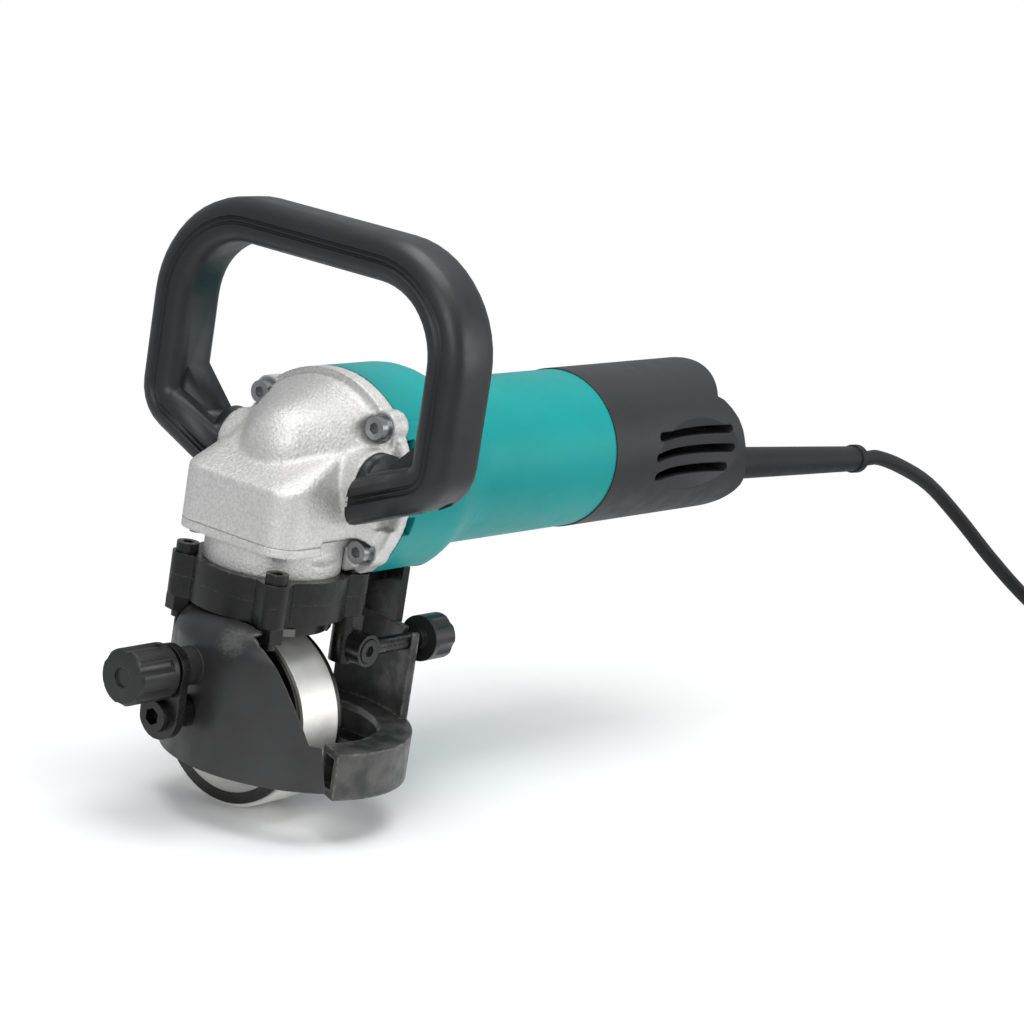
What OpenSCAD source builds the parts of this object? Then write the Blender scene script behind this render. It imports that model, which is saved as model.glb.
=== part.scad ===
// Pipe bevelling machine: an angle-drive power tool with a bow handle. A flat bevel cutter turns
// on an upright spindle, a guide roller runs in the pipe and a guide shoe bears on its end.
// Frame: Z is the spindle axis, X runs along the motor towards the cord, the near side is -Y.
// The origin lies on the spindle axis at the level of the roller's lowest point.

/* [Layout] */
// Gap between the guide roller's top and the cutter
head_gap = 2.2; // [1.6:0.1:4]

/* [Gear case] */
// Width across the square nose
nose_w = 59; // [57:0.5:64]
// Corner radius of the nose
nose_corner = 12; // [8:0.5:16]
// Depth of the nose's lower edge below the motor axis
lip_drop = 22; // [21.5:0.1:23]
// Thickness of the bearing cover's flange under the nose
cover_t = 3.4; // [2.5:0.1:4]
// Rise of the upright nose walls above the motor axis
wall_rise = 3; // [1:0.5:6]
// Rise of the sloping shoulder's upper edge above the motor axis
shoulder_rise = 17; // [14:0.5:20]
// Half width of the shoulder's upper edge
shoulder_hw = 26; // [23:0.5:27]
// Radius of the dome where it meets the flange
dome_r = 40; // [38:0.5:41]
// Radius of the ball that rounds the dome's front
dome_ball = 19; // [16:0.5:22]
// Radius of the case flange and of the motor bell behind it
flange_r = 43; // [42:0.5:46]
// Front face of the case flange
flange_x = 19; // [18:0.5:20]
// Thickness of the case flange
flange_t = 8; // [7:0.5:9]
// Radius of the flange screws' shank
case_screw_r = 2.5; // [2:0.1:3]
// Radius of the flange screws' head
case_head_r = 4.5; // [4:0.1:5]

/* [Neck and clamp ring] */
// Radius of the bearing neck under the gear case
neck_r = 27; // [26.5:0.1:27.5]
// Radius of the spigot that the clamp ring grips
spigot_r = 25; // [24:0.1:25.5]
// Drop of the clamp ring's upper face below the motor axis
ring_drop = 32.6; // [32:0.1:33.5]
// Thickness of the upper ring half
ring_upper_t = 8.7; // [8:0.1:9.5]
// Thickness of the lower ring half
ring_lower_t = 8.4; // [8:0.1:9.5]
// Outer radius of the ring
ring_r = 31.4; // [31:0.1:32.5]
// Radius of the circle that the four ring bolts stand on
bolt_circle_r = 33; // [32.5:0.1:33.5]
// Radius of the lugs round the ring bolts
lug_r = 5.6; // [5.4:0.1:6]
// Radius of the ring bolts' shank
bolt_r = 3; // [2.5:0.1:3.2]
// Radius of the ring bolts' socket head
bolt_head_r = 4.4; // [4.2:0.1:4.8]
// Height of the ring bolts' head
bolt_head_h = 3.8; // [3.4:0.1:4.4]
// Height of the ring nuts
nut_h = 6; // [5:0.1:7]

/* [Hood and guide shoe] */
// Axis of the round hood and shoe, towards the motor from the spindle
hood_x = 10; // [9:0.5:11]
// Axis of the round hood and shoe, towards the near side from the spindle
hood_y = 12; // [11:0.5:13]
// Outer radius of the hood
hood_r = 50; // [49:0.5:52]
// Sheet thickness of the hood
hood_t = 2; // [1.6:0.1:2.6]
// Shoulder radius of the hood
hood_fillet = 12; // [9:0.5:14]
// Height of the hood's rim over the floor
hood_rim_h = 22.3; // [20:0.1:25]
// Outer radius of the guide shoe
shoe_r = 48.5; // [47.5:0.5:50]
// Depth of the shoe's channel flanges
shoe_flange = 13.5; // [12:0.5:13.5]
// Wall of the shoe
shoe_t = 3; // [2.5:0.1:3.5]
// Height of the shoe's underside over the floor
shoe_h0 = 19; // [17:0.5:21]
// Height of the shoe's channel
shoe_h = 18.5; // [16:0.5:20]

/* [Guide roller] */
// Radius of the guide roller
roller_r = 36.5; // [35.5:0.1:36.5]
// Width of the polished tread
tread_w = 20.4; // [19:0.1:21]
// Width of the whole roller
roller_w = 27.5; // [26.5:0.5:27.5]
// Front face of the roller, from the spindle axis
roller_x = -12; // [-12.5:0.5:-11]
// Offset of the roller axis below the axle's own axis
eccentric = 6; // [5:0.5:6]
// Radius of the axle in the hood
axle_r = 6.2; // [5.5:0.1:6.5]
// Radius of the axle's eccentric journal
journal_r = 7.5; // [7:0.1:8]

/* [Knobs] */
// Radius of the lock knob at the front
knob_r = 11; // [10:0.5:12]
// Length of the lock knob
knob_l = 20; // [17:0.5:22]
// Height of the lock knob's axis over the floor
knob_h = 60.5; // [59.5:0.5:62]
// Radius of the lock stud
stud_r = 4; // [3.5:0.1:4.5]
// Thickness of the link plate behind the lock knob
link_t = 4; // [3:0.5:5]
// Half width of the link plate
link_r = 10; // [9:0.5:10.5]
// Front face of the link plate
link_x = -53.5; // [-55:0.5:-53]
// Radius of the swing bolt's eye
eye_r = 6.5; // [6:0.1:7]
// Thickness of the swing bolt's eye
eye_t = 7; // [6:0.1:8]
// Radius of the swing bolt's rod
rod_r = 3; // [2.6:0.1:3.2]
// Drop of the swing bolt's axis below the motor axis
swing_drop = 62; // [61.5:0.1:63]
// Radius of the clamp knob on the swing bolt
clamp_knob_r = 9.3; // [9:0.1:9.8]
// Length of the clamp knob
clamp_knob_l = 15; // [13:0.5:17]

/* [Bow handle] */
// Half width of the bow along its middle line
bow_hw = 69.7; // [66:0.1:73]
// Rise of the bow's grip above the motor axis, along its middle line
bow_rise = 94.4; // [88:0.1:100]
// Thickness of the bow in its own plane
bow_t = 18; // [16:0.1:19]
// Depth of the bow along the motor
bow_d = 26; // [24:0.1:28]
// Middle of the bow, from the spindle axis
bow_x = 8.5; // [7:0.5:10]
// Radius of the upper bends along the middle line
bow_bend = 36; // [30:0.5:40]
// Radius of the lower bends along the middle line
bow_low_bend = 11; // [10.5:0.5:13]
// Radius of the handle's round feet
foot_r = 13; // [12:0.1:13.5]
// Thickness of the handle's round feet
foot_t = 4.3; // [3.5:0.1:5]

/* [Motor] */
// Radius of the motor barrel
barrel_r = 33.7; // [33.2:0.1:34]
// Wall of the motor housing
housing_t = 2.5; // [2:0.1:2.8]
// End of the wide front bell
bell_x = 57; // [52:0.5:62]
// Start of the straight barrel
barrel_x = 88; // [80:0.5:92]
// Rear end of the motor housing
barrel_end = 175; // [174:0.5:180]
// Radius of the armature's core
rotor_r = 19; // [17:0.1:19.6]
// Length of the armature's core
core_l = 36; // [32:0.5:40]
// Running gap between armature and field
air_gap = 0.5; // [0.4:0.05:0.8]
// Radius of the cooling fan
fan_r = 27.5; // [25:0.5:28]
// Radius of the commutator
commutator_r = 12; // [11:0.1:13]

/* [Rear housing] */
// Radius of the rear housing
rear_r = 34.2; // [34:0.1:36]
// Wall of the rear housing
rear_t = 3; // [2.5:0.1:3.2]
// End of the rear housing's full height
rear_top_x = 260; // [258:0.5:261]
// Rearmost point of the rear housing
rear_end_x = 284; // [283:0.5:285]
// Height of each vent slot
vent_h = 4; // [3:0.1:4.5]
// Travel of the slide switch
switch_travel = 6; // [4:0.5:7]

/* [Cord] */
// Diameter of the cord
cord_d = 7.5; // [7.5]
// Radius of the boot at the housing
boot_r = 7.75; // [7:0.05:9]
// Radius of the boot at its tip
boot_tip_r = 6.2; // [5.5:0.1:6.8]
// Length of the boot
boot_l = 128.2; // [128.2]

/* [Hidden] */
cutter_t = 4.9;
// Height of the motor axis over the floor that the guide roller stands on
axis_h = 2 * roller_r + head_gap + cutter_t + 0.7 + ring_lower_t + ring_upper_t + ring_drop;
$fn = 64;
// Radial clearance of a running shaft
run_gap = 0.03;
// Clearance between pieces that are only located by each other
seat_gap = 0.1;
// Clearance between pieces that pass each other
free_gap = 0.4;

// Heights that follow from the sizes above
lip_z = axis_h - lip_drop;
case_z = lip_z + cover_t;
ring_z = axis_h - ring_drop;
ring_mid_z = ring_z - ring_upper_t;
ring_low_z = ring_mid_z - ring_lower_t;
flange_end = flange_x + flange_t;
screw_y = 29.75;
screw_up = 27;
screw_down = 22.5;
chamber_r = nose_w / 2 - 4;

// Bearings: inner radius, outer radius and width of each
lower_brg = [7.5, 16, 9];
upper_brg = [5, 8, 10];
front_brg = [5, 13, 8];
rear_brg = [4, 11, 7];
roller_brg = [journal_r, 16, 8];
brg_ledge = 3;
lower_brg_z = axis_h - 46;
upper_brg_z = axis_h + 6;
front_brg_x = flange_end;
rear_brg_x = 158;

// Gear pair: tip radius and length of the pinion, radius and tooth height of the crown gear
pinion_r = 9;
pinion_l = 12;
pinion_teeth = 12;
pinion_root = 6.6;
pinion_x = flange_end - 2 - pinion_l;
gear_r = chamber_r - 1.5;
gear_teeth = 40;
tooth_h = 2.4;
gear_t = 4.2;
gear_z = axis_h - pinion_r - free_gap;
gear_bore = 7;

// Cutter: it hangs just under the clamp ring
cutter_r = 25.5;
cutter_z = ring_low_z - 0.7 - cutter_t;
cutter_bore = 6;
cutter_head_r = 7;
cutter_head_h = 2.2;
cutter_thread_r = 2.5;
insert_w = 8;
insert_l = 7;
insert_t = 3;
insert_count = 6;

// Roller and axle
roller_z = roller_r;
axle_z = roller_z + eccentric;
tread_t = 4.5;
collar_t = 2.4;
collar_r = 14;
roller_end = roller_x + roller_w;
tread_x = roller_x + 1.6;
tread_end = tread_x + tread_w;
face_r = 30.5;
link_back = link_x + link_t;
hood_front = hood_x - hood_r;
axle_front = link_x - 3.5;
socket_af = 6;

// Swing bolt: it pivots on the post that stands in for the nut of the near rear ring bolt
post_r = 5.9;
post_xy = bolt_circle_r * cos(45);
post_flat_y = -post_xy - 5;
post_end = swing_drop + 7;
swing_z = axis_h - swing_drop;
eye_y1 = post_flat_y - free_gap;
eye_y0 = eye_y1 - eye_t;
swing_y = (eye_y0 + eye_y1) / 2;
shoe_wall_x = hood_x + sqrt(shoe_r * shoe_r - (swing_y + hood_y) * (swing_y + hood_y));
clamp_x = shoe_wall_at(swing_y + 0.45 * clamp_knob_r) + 0.6;
clamp_collar = 2;
pivot_r = 3;
bracket_top = ring_mid_z + 5.3;
slot_top = ring_low_z - 0.3;

// Piece radii on the motor axis
bell_in = flange_r - 3.5;
barrel_in = barrel_r - housing_t;
core_x = 76;
core_end = core_x + core_l;
shaft_r = 6.5;
spigot_x = barrel_end + 7;
bell_steps = 8;

function ease(t) = (1 - cos(180 * t)) / 2;

module xcyl(x0, x1, r, y = 0, z = 0) {
  translate([x0, y, z]) rotate([0, 90, 0]) cylinder(h = x1 - x0, r = r);
}

module ycyl(y0, y1, r, x = 0, z = 0) {
  translate([x, y0, z]) rotate([-90, 0, 0]) cylinder(h = y1 - y0, r = r);
}

module zcyl(z0, z1, r, x = 0, y = 0) {
  translate([x, y, z0]) cylinder(h = z1 - z0, r = r);
}

module at_bolts() {
  for (a = [45:90:315]) rotate(a) translate([bolt_circle_r, 0, 0]) children();
}

module at_flange_screws() {
  for (s = [-1, 1]) {
    translate([0, s * screw_y, axis_h + screw_up]) children();
    translate([0, s * screw_y, axis_h - screw_down]) children();
  }
}

module both_sides() {
  children();
  mirror([0, 1, 0]) children();
}

module rounded_square(w, r) {
  translate([-w, r - w]) square([2 * w, 2 * (w - r)]);
  translate([r - w, -w]) square([2 * (w - r), 2 * w]);
  for (sx = [-1, 1], sy = [-1, 1]) translate([sx * (w - r), sy * (w - r)]) circle(r);
}

module socket_screw(r, length, head_r, head_h) {
  // Shank upwards from the head's underside, head below it, with a hexagon socket
  cylinder(h = length, r = r);
  translate([0, 0, -head_h]) difference() {
    cylinder(h = head_h, r = head_r);
    translate([0, 0, -1]) cylinder(h = 1 + head_h * 0.55, r = head_r * 0.52, $fn = 6);
  }
}

// Foot of the bow handle on the gear case
foot_x = 12;
foot_z = axis_h + 6.1;
pad_l = 6;
pad_y = nose_w / 2 + pad_l;
handle_screw_r = 3;

shoulder_x = 1;

module gear_case() {
  color("gainsboro") difference() {
    union() {
      translate([0, 0, case_z]) linear_extrude(axis_h + wall_rise - case_z)
        rounded_square(nose_w / 2, nose_corner);
      hull() {
        translate([0, 0, axis_h + wall_rise - 0.5]) linear_extrude(0.5)
          rounded_square(nose_w / 2, nose_corner, $fn = 32);
        for (x = [shoulder_x + 5, flange_x - 4], s = [-1, 1])
          translate([x, s * (shoulder_hw - 5), axis_h + shoulder_rise - 0.5])
            cylinder(h = 0.5, r = 5, $fn = 24);
      }
      hull() {
        xcyl(flange_x - 3, flange_x + 0.5, dome_r, 0, axis_h, $fn = 48);
        translate([2, 0, axis_h + dome_r - dome_ball - 8]) sphere(dome_ball, $fn = 32);
        translate([6, 0, axis_h]) sphere(dome_ball, $fn = 24);
      }
      xcyl(flange_x, flange_end, flange_r, 0, axis_h);
      at_flange_screws() xcyl(flange_x - 1, flange_end, case_head_r + 2);
      ycyl(-pad_y, pad_y, foot_r + 0.6, foot_x, foot_z);
      xcyl(flange_end, front_brg_x + front_brg[2], front_brg[1] + 4, 0, axis_h);
    }
    // Flat underside over the clamp ring, with room for the neck, its cover and the bolt heads
    translate([-60, -60, ring_z - 30]) cube([120, 120, 30 + ring_clear]);
    translate([-60, -60, ring_z - 1]) cube([60 + cover_end, 120, case_z - ring_z + 1]);
    zcyl(ring_z - 1, case_z, neck_r + seat_gap);
    bolt_reliefs();
    // Room for the handle's feet and legs beside the flange
    both_sides() {
      ycyl(pad_y, pad_y + 20, foot_r + free_gap, foot_x, foot_z);
      translate([bow_x - bow_d / 2 - free_gap, pad_y, axis_h - 12]) cube([bow_d + 2 * free_gap, 20, 36]);
    }
    // Gear chamber, pinion passage, bearing seats and the motor's air way
    zcyl(case_z - 1, gear_z + 4, chamber_r);
    xcyl(-upper_brg[0] - 2, flange_end + 1, pinion_r + 1.4, 0, axis_h);
    zcyl(axis_h, upper_brg_z + upper_brg[2], upper_brg[1] + seat_gap / 2);
    xcyl(front_brg_x, front_brg_x + front_brg[2] + 1, front_brg[1] + seat_gap / 2, 0, axis_h);
    // Screw pockets and holes
    at_flange_screws() {
      xcyl(flange_x - 26, flange_x, case_head_r + 1.4);
      xcyl(flange_x - 1, flange_end + 1, case_screw_r + seat_gap);
    }
    for (s = [-1, 1])
      zcyl(case_z - 1, case_z + 8, neck_screw_r + seat_gap, -neck_screw_xy, s * neck_screw_xy);
    for (s = [-1, 1])
      ycyl(s > 0 ? pad_y - 7 : -pad_y - 1, s > 0 ? pad_y + 1 : 7 - pad_y,
        handle_screw_r + seat_gap, foot_x, foot_z);
  }
}

neck_screw_r = 1.6;
neck_screw_xy = nose_w / 2 - 8;
cover_end = flange_x - 3.2;
ring_clear = 0.6;
bell_floor = 3;

module bolt_reliefs() {
  at_bolts() zcyl(ring_z - 1, ring_z + bolt_head_h + ring_clear, bolt_head_r + ring_clear);
}

module bearing_neck() {
  color("silver") difference() {
    union() {
      intersection() {
        translate([0, 0, lip_z]) linear_extrude(cover_t) rounded_square(nose_w / 2, nose_corner);
        translate([-60, -60, lip_z]) cube([60 + cover_end - seat_gap, 120, cover_t]);
      }
      zcyl(ring_z, case_z, neck_r);
      zcyl(ring_low_z + 0.7, ring_z + 1, spigot_r);
    }
    zcyl(ring_low_z - 1, lip_z + cover_t + 1, lower_brg[0] + 2.5);
    zcyl(lower_brg_z, lip_z + cover_t + 1, lower_brg[1] + seat_gap / 2);
    for (s = [-1, 1])
      zcyl(lip_z - 1, lip_z + cover_t + 1, neck_screw_r + seat_gap, -neck_screw_xy, s * neck_screw_xy);
    at_flange_screws() xcyl(flange_x - 26, flange_x + 1, case_head_r + 1.4);
  }
}

module neck_screws() {
  color("silver") for (s = [-1, 1]) translate([-neck_screw_xy, s * neck_screw_xy, lip_z])
      socket_screw(neck_screw_r, cover_t + 7, neck_screw_r * 1.75, 2.4);
}

module flange_screws() {
  color("silver") at_flange_screws() translate([flange_x, 0, 0]) rotate([0, 90, 0]) {
    difference() {
      translate([0, 0, -1]) cylinder(h = 1, r = case_head_r + 1);
      translate([0, 0, -2]) cylinder(h = 3, r = case_screw_r);
    }
    translate([0, 0, -1]) socket_screw(case_screw_r, flange_t + 14, case_head_r, 4.5);
  }
}

module bearing(b) {
  // A shielded ball bearing as its ring, with the grooves between the races
  difference() {
    cylinder(h = b[2], r = b[1]);
    translate([0, 0, -1]) cylinder(h = b[2] + 2, r = b[0] + run_gap);
    for (z = [-1, b[2] - 0.6]) translate([0, 0, z]) difference() {
      cylinder(h = 1.6, r = b[0] + (b[1] - b[0]) * 0.72);
      translate([0, 0, -1]) cylinder(h = 4, r = b[0] + (b[1] - b[0]) * 0.28);
    }
  }
}

module spindle_bearings() {
  color("lightgrey") {
    translate([0, 0, lower_brg_z]) bearing(lower_brg);
    translate([0, 0, upper_brg_z]) bearing(upper_brg);
  }
}

module armature_bearings() {
  color("lightgrey") {
    translate([front_brg_x, 0, axis_h]) rotate([0, 90, 0]) bearing(front_brg);
    translate([rear_brg_x, 0, axis_h]) rotate([0, 90, 0]) bearing(rear_brg);
  }
}

module ring_ear() {
  // Ear round one bolt, with its sides running out into the ring
  root_r = 12;
  root_x = ring_r - root_r - 0.4;
  a = acos((root_r - lug_r) / (bolt_circle_r - root_x));
  in = 0.05;
  tip = [bolt_circle_r + (lug_r - in) * cos(a), (lug_r - in) * sin(a)];
  root = [root_x + root_r * cos(a), root_r * sin(a)];
  translate([bolt_circle_r, 0]) circle(lug_r);
  polygon([[root_x, 0], [root[0], -root[1]], [tip[0], -tip[1]], tip, root]);
}

module ring_half(z, t) {
  difference() {
    translate([0, 0, z]) linear_extrude(t) {
      circle(ring_r);
      for (a = [45:90:315]) rotate(a) ring_ear();
    }
    zcyl(z - 1, z + t + 1, spigot_r + seat_gap);
    at_bolts() zcyl(z - 1, z + t + 1, bolt_r + seat_gap);
  }
}

// Rear arm of the upper ring half, which carries the guide shoe's ear
arm_y0 = -16;
arm_y1 = 4;
arm_screw_y = [-11, -1];
arm_screw_r = 1.5;
arm_screw_l = 14;
plate_r = shoe_r - shoe_t - free_gap;
plate_t = 3;
plate_a0 = -20;
plate_low = ring_low_z - 6;

module clamp_ring_upper() {
  color("dimgrey") difference() {
    union() {
      ring_half(ring_mid_z, ring_upper_t);
      difference() {
        intersection() {
          translate([spigot_r - 2, arm_y0, ring_mid_z]) cube([40, arm_y1 - arm_y0, bracket_top - ring_mid_z]);
          zcyl(ring_mid_z - 1, ring_z, shoe_r - shoe_t, hood_x, -hood_y);
        }
        zcyl(ring_mid_z - 1, ring_z + 1, spigot_r + seat_gap);
      }
      // Curved plate across the arm's end, inside the shoe's ear
      translate([hood_x, -hood_y, 0])
        band(plate_r - plate_t, plate_r, plate_low, ring_z - free_gap, plate_a0, shoe_a1);
    }
    at_arm_screws(arm_screw_r + seat_gap / 2);
  }
}

module at_arm_screws(r) {
  for (y = arm_screw_y) xcyl(shoe_wall_at(y) - arm_screw_l, shoe_wall_at(y) + 2, r, y,
    (ring_mid_z + bracket_top) / 2);
}

function shoe_wall_at(y) = hood_x + sqrt(shoe_r * shoe_r - (y + hood_y) * (y + hood_y));

module clamp_ring_lower() {
  color("dimgrey") ring_half(ring_low_z, ring_lower_t);
}

module ring_bolts() {
  color("black") for (a = [45:90:315]) rotate(a) translate([bolt_circle_r, 0, ring_z]) mirror([0, 0, 1])
    socket_screw(bolt_r, ring_upper_t + ring_lower_t + (a == 315 ? post_thread : nut_h + bolt_over),
      bolt_head_r, bolt_head_h);
}

bolt_over = 3;
post_thread = 8;

module nut(r, h, hole) {
  difference() {
    cylinder(h = h, r = r, $fn = 6);
    translate([0, 0, -1]) cylinder(h = h + 2, r = hole);
  }
}

module ring_nuts() {
  // The swing post takes the place of the near rear nut
  color("dimgrey") for (a = [45, 135, 225]) rotate(a)
    translate([bolt_circle_r, 0, ring_low_z - nut_h])
      nut(bolt_r * 1.9, nut_h, bolt_r);
}

module swing_post() {
  color("dimgrey") difference() {
    zcyl(axis_h - post_end, ring_low_z, post_r, post_xy, -post_xy);
    zcyl(ring_low_z - post_thread - 0.5, ring_low_z + 1, bolt_r, post_xy, -post_xy);
    translate([0, post_flat_y - 20, axis_h - post_end - 1]) cube([60, 20, post_end]);
    ycyl(post_flat_y - 1, -post_xy + 3, pivot_r, post_xy, swing_z);
  }
}

// Outline of the sheet hood in side view on the near side: it leans back towards the rim
hood_top_cut = -27;
hood_step_z = hood_rim_h + 18;
hood_low_cut = -15.3;
hood_far_cut = -14;
boss_r = 7.5;
sleeve_r = 9.5;

module hood_wall() {
  // Half section of the hood: wall, round shoulder and roof
  top = ring_low_z;
  difference() {
    union() {
      translate([0, hood_rim_h]) square([hood_r, top - hood_fillet - hood_rim_h]);
      translate([0, top - hood_fillet]) square([hood_r - hood_fillet, hood_fillet]);
      translate([hood_r - hood_fillet, top - hood_fillet]) intersection() {
        circle(hood_fillet);
        square(hood_fillet);
      }
    }
    translate([0, hood_rim_h - 1]) square([hood_r - hood_t, top - hood_fillet - hood_rim_h + 1]);
    translate([0, hood_rim_h]) square([hood_r - hood_fillet, top - hood_t - hood_rim_h]);
    translate([hood_r - hood_fillet, top - hood_fillet]) intersection() {
      circle(hood_fillet - hood_t);
      square(hood_fillet - hood_t);
    }
  }
}

module hood_near_outline() {
  // Area that stays in side view, x across and z up
  polygon([[-70, hood_rim_h - 2], [hood_low_cut, hood_rim_h - 2], [hood_low_cut, hood_rim_h],
    [hood_low_cut - 3.2, hood_step_z], [hood_low_cut - 7.2, hood_step_z + 0.5],
    [hood_low_cut - 13.7, hood_step_z + 18], [hood_low_cut - 18.7, hood_step_z + 32],
    [hood_low_cut - 19.2, ring_low_z - 5], [hood_low_cut - 18.2, ring_low_z - 2.6],
    [hood_top_cut - 3, ring_low_z - 0.8], [hood_top_cut, ring_low_z + 2], [-70, ring_low_z + 2]]);
}

module hood() {
  color([0.25, 0.25, 0.26]) difference() {
    union() {
      intersection() {
        translate([hood_x, -hood_y, 0]) rotate_extrude() hood_wall();
        union() {
          translate([0, -2, 0]) rotate([90, 0, 0]) linear_extrude(80) hood_near_outline();
          translate([-80, -2, 0]) cube([80 + hood_far_cut, 80, ring_low_z + 1]);
        }
      }
      // Boss under the link plate's upper end, and the sleeve that the axle turns in
      difference() {
        xcyl(link_back, hood_x, boss_r, 0, knob_h);
        zcyl(0, ring_low_z, hood_r - 0.5, hood_x, -hood_y);
      }
      difference() {
        xcyl(hood_front - 2, roller_x - collar_t - free_gap, sleeve_r, 0, axle_z);
        difference() {
          translate([hood_front - 5, -20, 0]) cube([40, 40, ring_low_z]);
          zcyl(0, ring_low_z, hood_r - hood_t + 0.5, hood_x, -hood_y);
        }
      }
    }
    zcyl(ring_low_z - 10, ring_low_z + 1, cutter_r + 1.6);
    at_bolts() zcyl(ring_low_z - nut_h - bolt_over - 2, ring_low_z + 1, bolt_r * 1.9 + 1.2);
    xcyl(link_x - 1, -25, stud_r, 0, knob_h);
    xcyl(link_x - 1, roller_x, axle_r + run_gap, 0, axle_z);
  }
}

shoe_a0 = -116;
shoe_a1 = 20;
wall_a0 = -33;
step_a0 = -9;
ear_a0 = -6;
web_a1 = -75;
web_t = 2;
prong_top = swing_z + 4.5;

module sector(a0, a1, r) {
  polygon([[0, 0], for (i = [0:16]) let (a = a0 + (a1 - a0) * i / 16) [r * cos(a), r * sin(a)]]);
}

module band(r0, r1, z0, z1, a0, a1) {
  intersection() {
    difference() {
      zcyl(z0, z1, r1);
      zcyl(z0 - 1, z1 + 1, r0);
    }
    translate([0, 0, z0 - 1]) linear_extrude(z1 - z0 + 2) sector(a0, a1, r1 * 1.2);
  }
}

module guide_shoe() {
  top = shoe_h0 + shoe_h;
  in = shoe_r - shoe_t;
  color([0.33, 0.33, 0.34]) difference() {
    translate([hood_x, -hood_y, 0]) {
      difference() {
        band(shoe_r - shoe_flange, shoe_r, shoe_h0, top, shoe_a0, shoe_a1);
        zcyl(shoe_h0 + shoe_t, top - shoe_t, in);
      }
      // Web that closes the channel's near end on its inner side
      band(shoe_r - shoe_flange, shoe_r - shoe_flange + web_t, shoe_h0 + 1, top - 1, shoe_a0, web_a1);
      // Bracket wall: low beside the swing bolt, so that the knob swings clear over it
      band(in, shoe_r, top - 1, prong_top, wall_a0, shoe_a1);
      band(in, shoe_r, prong_top - 1, slot_top, step_a0, shoe_a1);
      band(in, shoe_r, slot_top - 1, bracket_top, ear_a0, shoe_a1);
    }
    // Open slot that the swing bolt drops into
    translate([shoe_wall_x - 12, swing_y - rod_r - free_gap, swing_z])
      cube([24, 2 * (rod_r + free_gap), slot_top]);
    xcyl(shoe_wall_x - 12, shoe_wall_x + 12, rod_r + free_gap, swing_y, swing_z);
    at_arm_screws(arm_screw_r + seat_gap);
  }
}

module shoe_screws() {
  color("silver") for (y = arm_screw_y)
    translate([shoe_wall_at(y) + 0.8, y, (ring_mid_z + bracket_top) / 2]) rotate([0, -90, 0])
      socket_screw(arm_screw_r, arm_screw_l - 2, 2.6, 2.4);
}

module lock_stud() {
  color("silver") xcyl(link_x - 14, -28, stud_r, 0, knob_h);
}

module link_plate() {
  color("black") difference() {
    translate([link_x, 0, 0]) rotate([90, 0, 90]) linear_extrude(link_t) union() {
      translate([0, knob_h]) circle(link_r);
      translate([0, axle_z]) circle(link_r - 0.5);
      translate([0.5 - link_r, axle_z]) square([2 * link_r - 1, knob_h - axle_z]);
    }
    xcyl(link_x - 1, link_back + 1, stud_r + seat_gap, 0, knob_h);
    xcyl(link_x - 1, link_back + 1, axle_r + run_gap, 0, axle_z);
  }
}

module fluted(r, length, flutes, flute_r) {
  // Round grip with shallow flutes, along Z from its seat
  difference() {
    union() {
      cylinder(h = length - 1, r = r);
      translate([0, 0, length - 1]) cylinder(h = 1, r1 = r, r2 = r - 1);
    }
    for (a = [0:360 / flutes:359]) rotate(a) translate([r + flute_r * 0.72, 0, 2.5])
      cylinder(h = length, r = flute_r, $fn = 24);
  }
}

knob_gap = 2.5;

module lock_knob() {
  color([0.14, 0.14, 0.15]) translate([link_x - 0.3, 0, knob_h]) rotate([0, -90, 0]) difference() {
    union() {
      cylinder(h = knob_gap + 1, r = knob_r * 0.62);
      translate([0, 0, knob_gap]) fluted(knob_r, knob_l, 6, 4);
    }
    translate([0, 0, -1]) cylinder(h = 15.5, r = stud_r + run_gap);
    translate([0, 0, knob_gap + knob_l - 1]) cylinder(h = 2, r = knob_r * 0.35);
  }
}

module eccentric_axle() {
  color([0.2, 0.2, 0.21]) difference() {
    union() {
      xcyl(axle_front, roller_x - collar_t, axle_r, 0, axle_z);
      xcyl(roller_x - collar_t, roller_x - free_gap, collar_r, 0, (axle_z + roller_z) / 2);
      xcyl(roller_x - free_gap, roller_end + free_gap, journal_r, 0, roller_z);
    }
    translate([axle_front - 1, 0, axle_z]) rotate([0, 90, 0])
      cylinder(h = 6, r = socket_af / 2 / cos(30), $fn = 6);
    xcyl(roller_end - 14, roller_end + 1, 2.5, 0, roller_z);
  }
}

module axle_retainer() {
  color("silver") translate([roller_end + free_gap, 0, roller_z]) rotate([0, -90, 0]) {
    translate([0, 0, -2]) difference() {
      cylinder(h = 2, r = journal_r + 4);
      translate([0, 0, -1]) cylinder(h = 4, r = 2.5);
    }
    translate([0, 0, -2]) socket_screw(2.5, 14, 4.2, 3);
  }
}

module roller_core() {
  color([0.18, 0.18, 0.19]) difference() {
    union() {
      xcyl(roller_x, roller_end, roller_r - tread_t, 0, roller_z);
      xcyl(roller_x, tread_x, roller_r - 1.5, 0, roller_z);
      xcyl(tread_end, tread_end + 2.5, roller_r - 0.4, 0, roller_z);
    }
    xcyl(roller_x - 1, roller_x + 1, face_r, 0, roller_z);
    xcyl(roller_x - 1, roller_end + 1, journal_r + 1.5, 0, roller_z);
    xcyl(roller_x - 1, roller_x + 1 + roller_brg[2], roller_brg[1] + seat_gap / 2, 0, roller_z);
    xcyl(roller_end - roller_brg[2] - 0.5, roller_end + 1, roller_brg[1] + seat_gap / 2, 0, roller_z);
  }
}

module roller_tread() {
  color("white") difference() {
    xcyl(tread_x, tread_end, roller_r, 0, roller_z);
    xcyl(tread_x - 1, tread_end + 1, roller_r - tread_t, 0, roller_z);
  }
}

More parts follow.
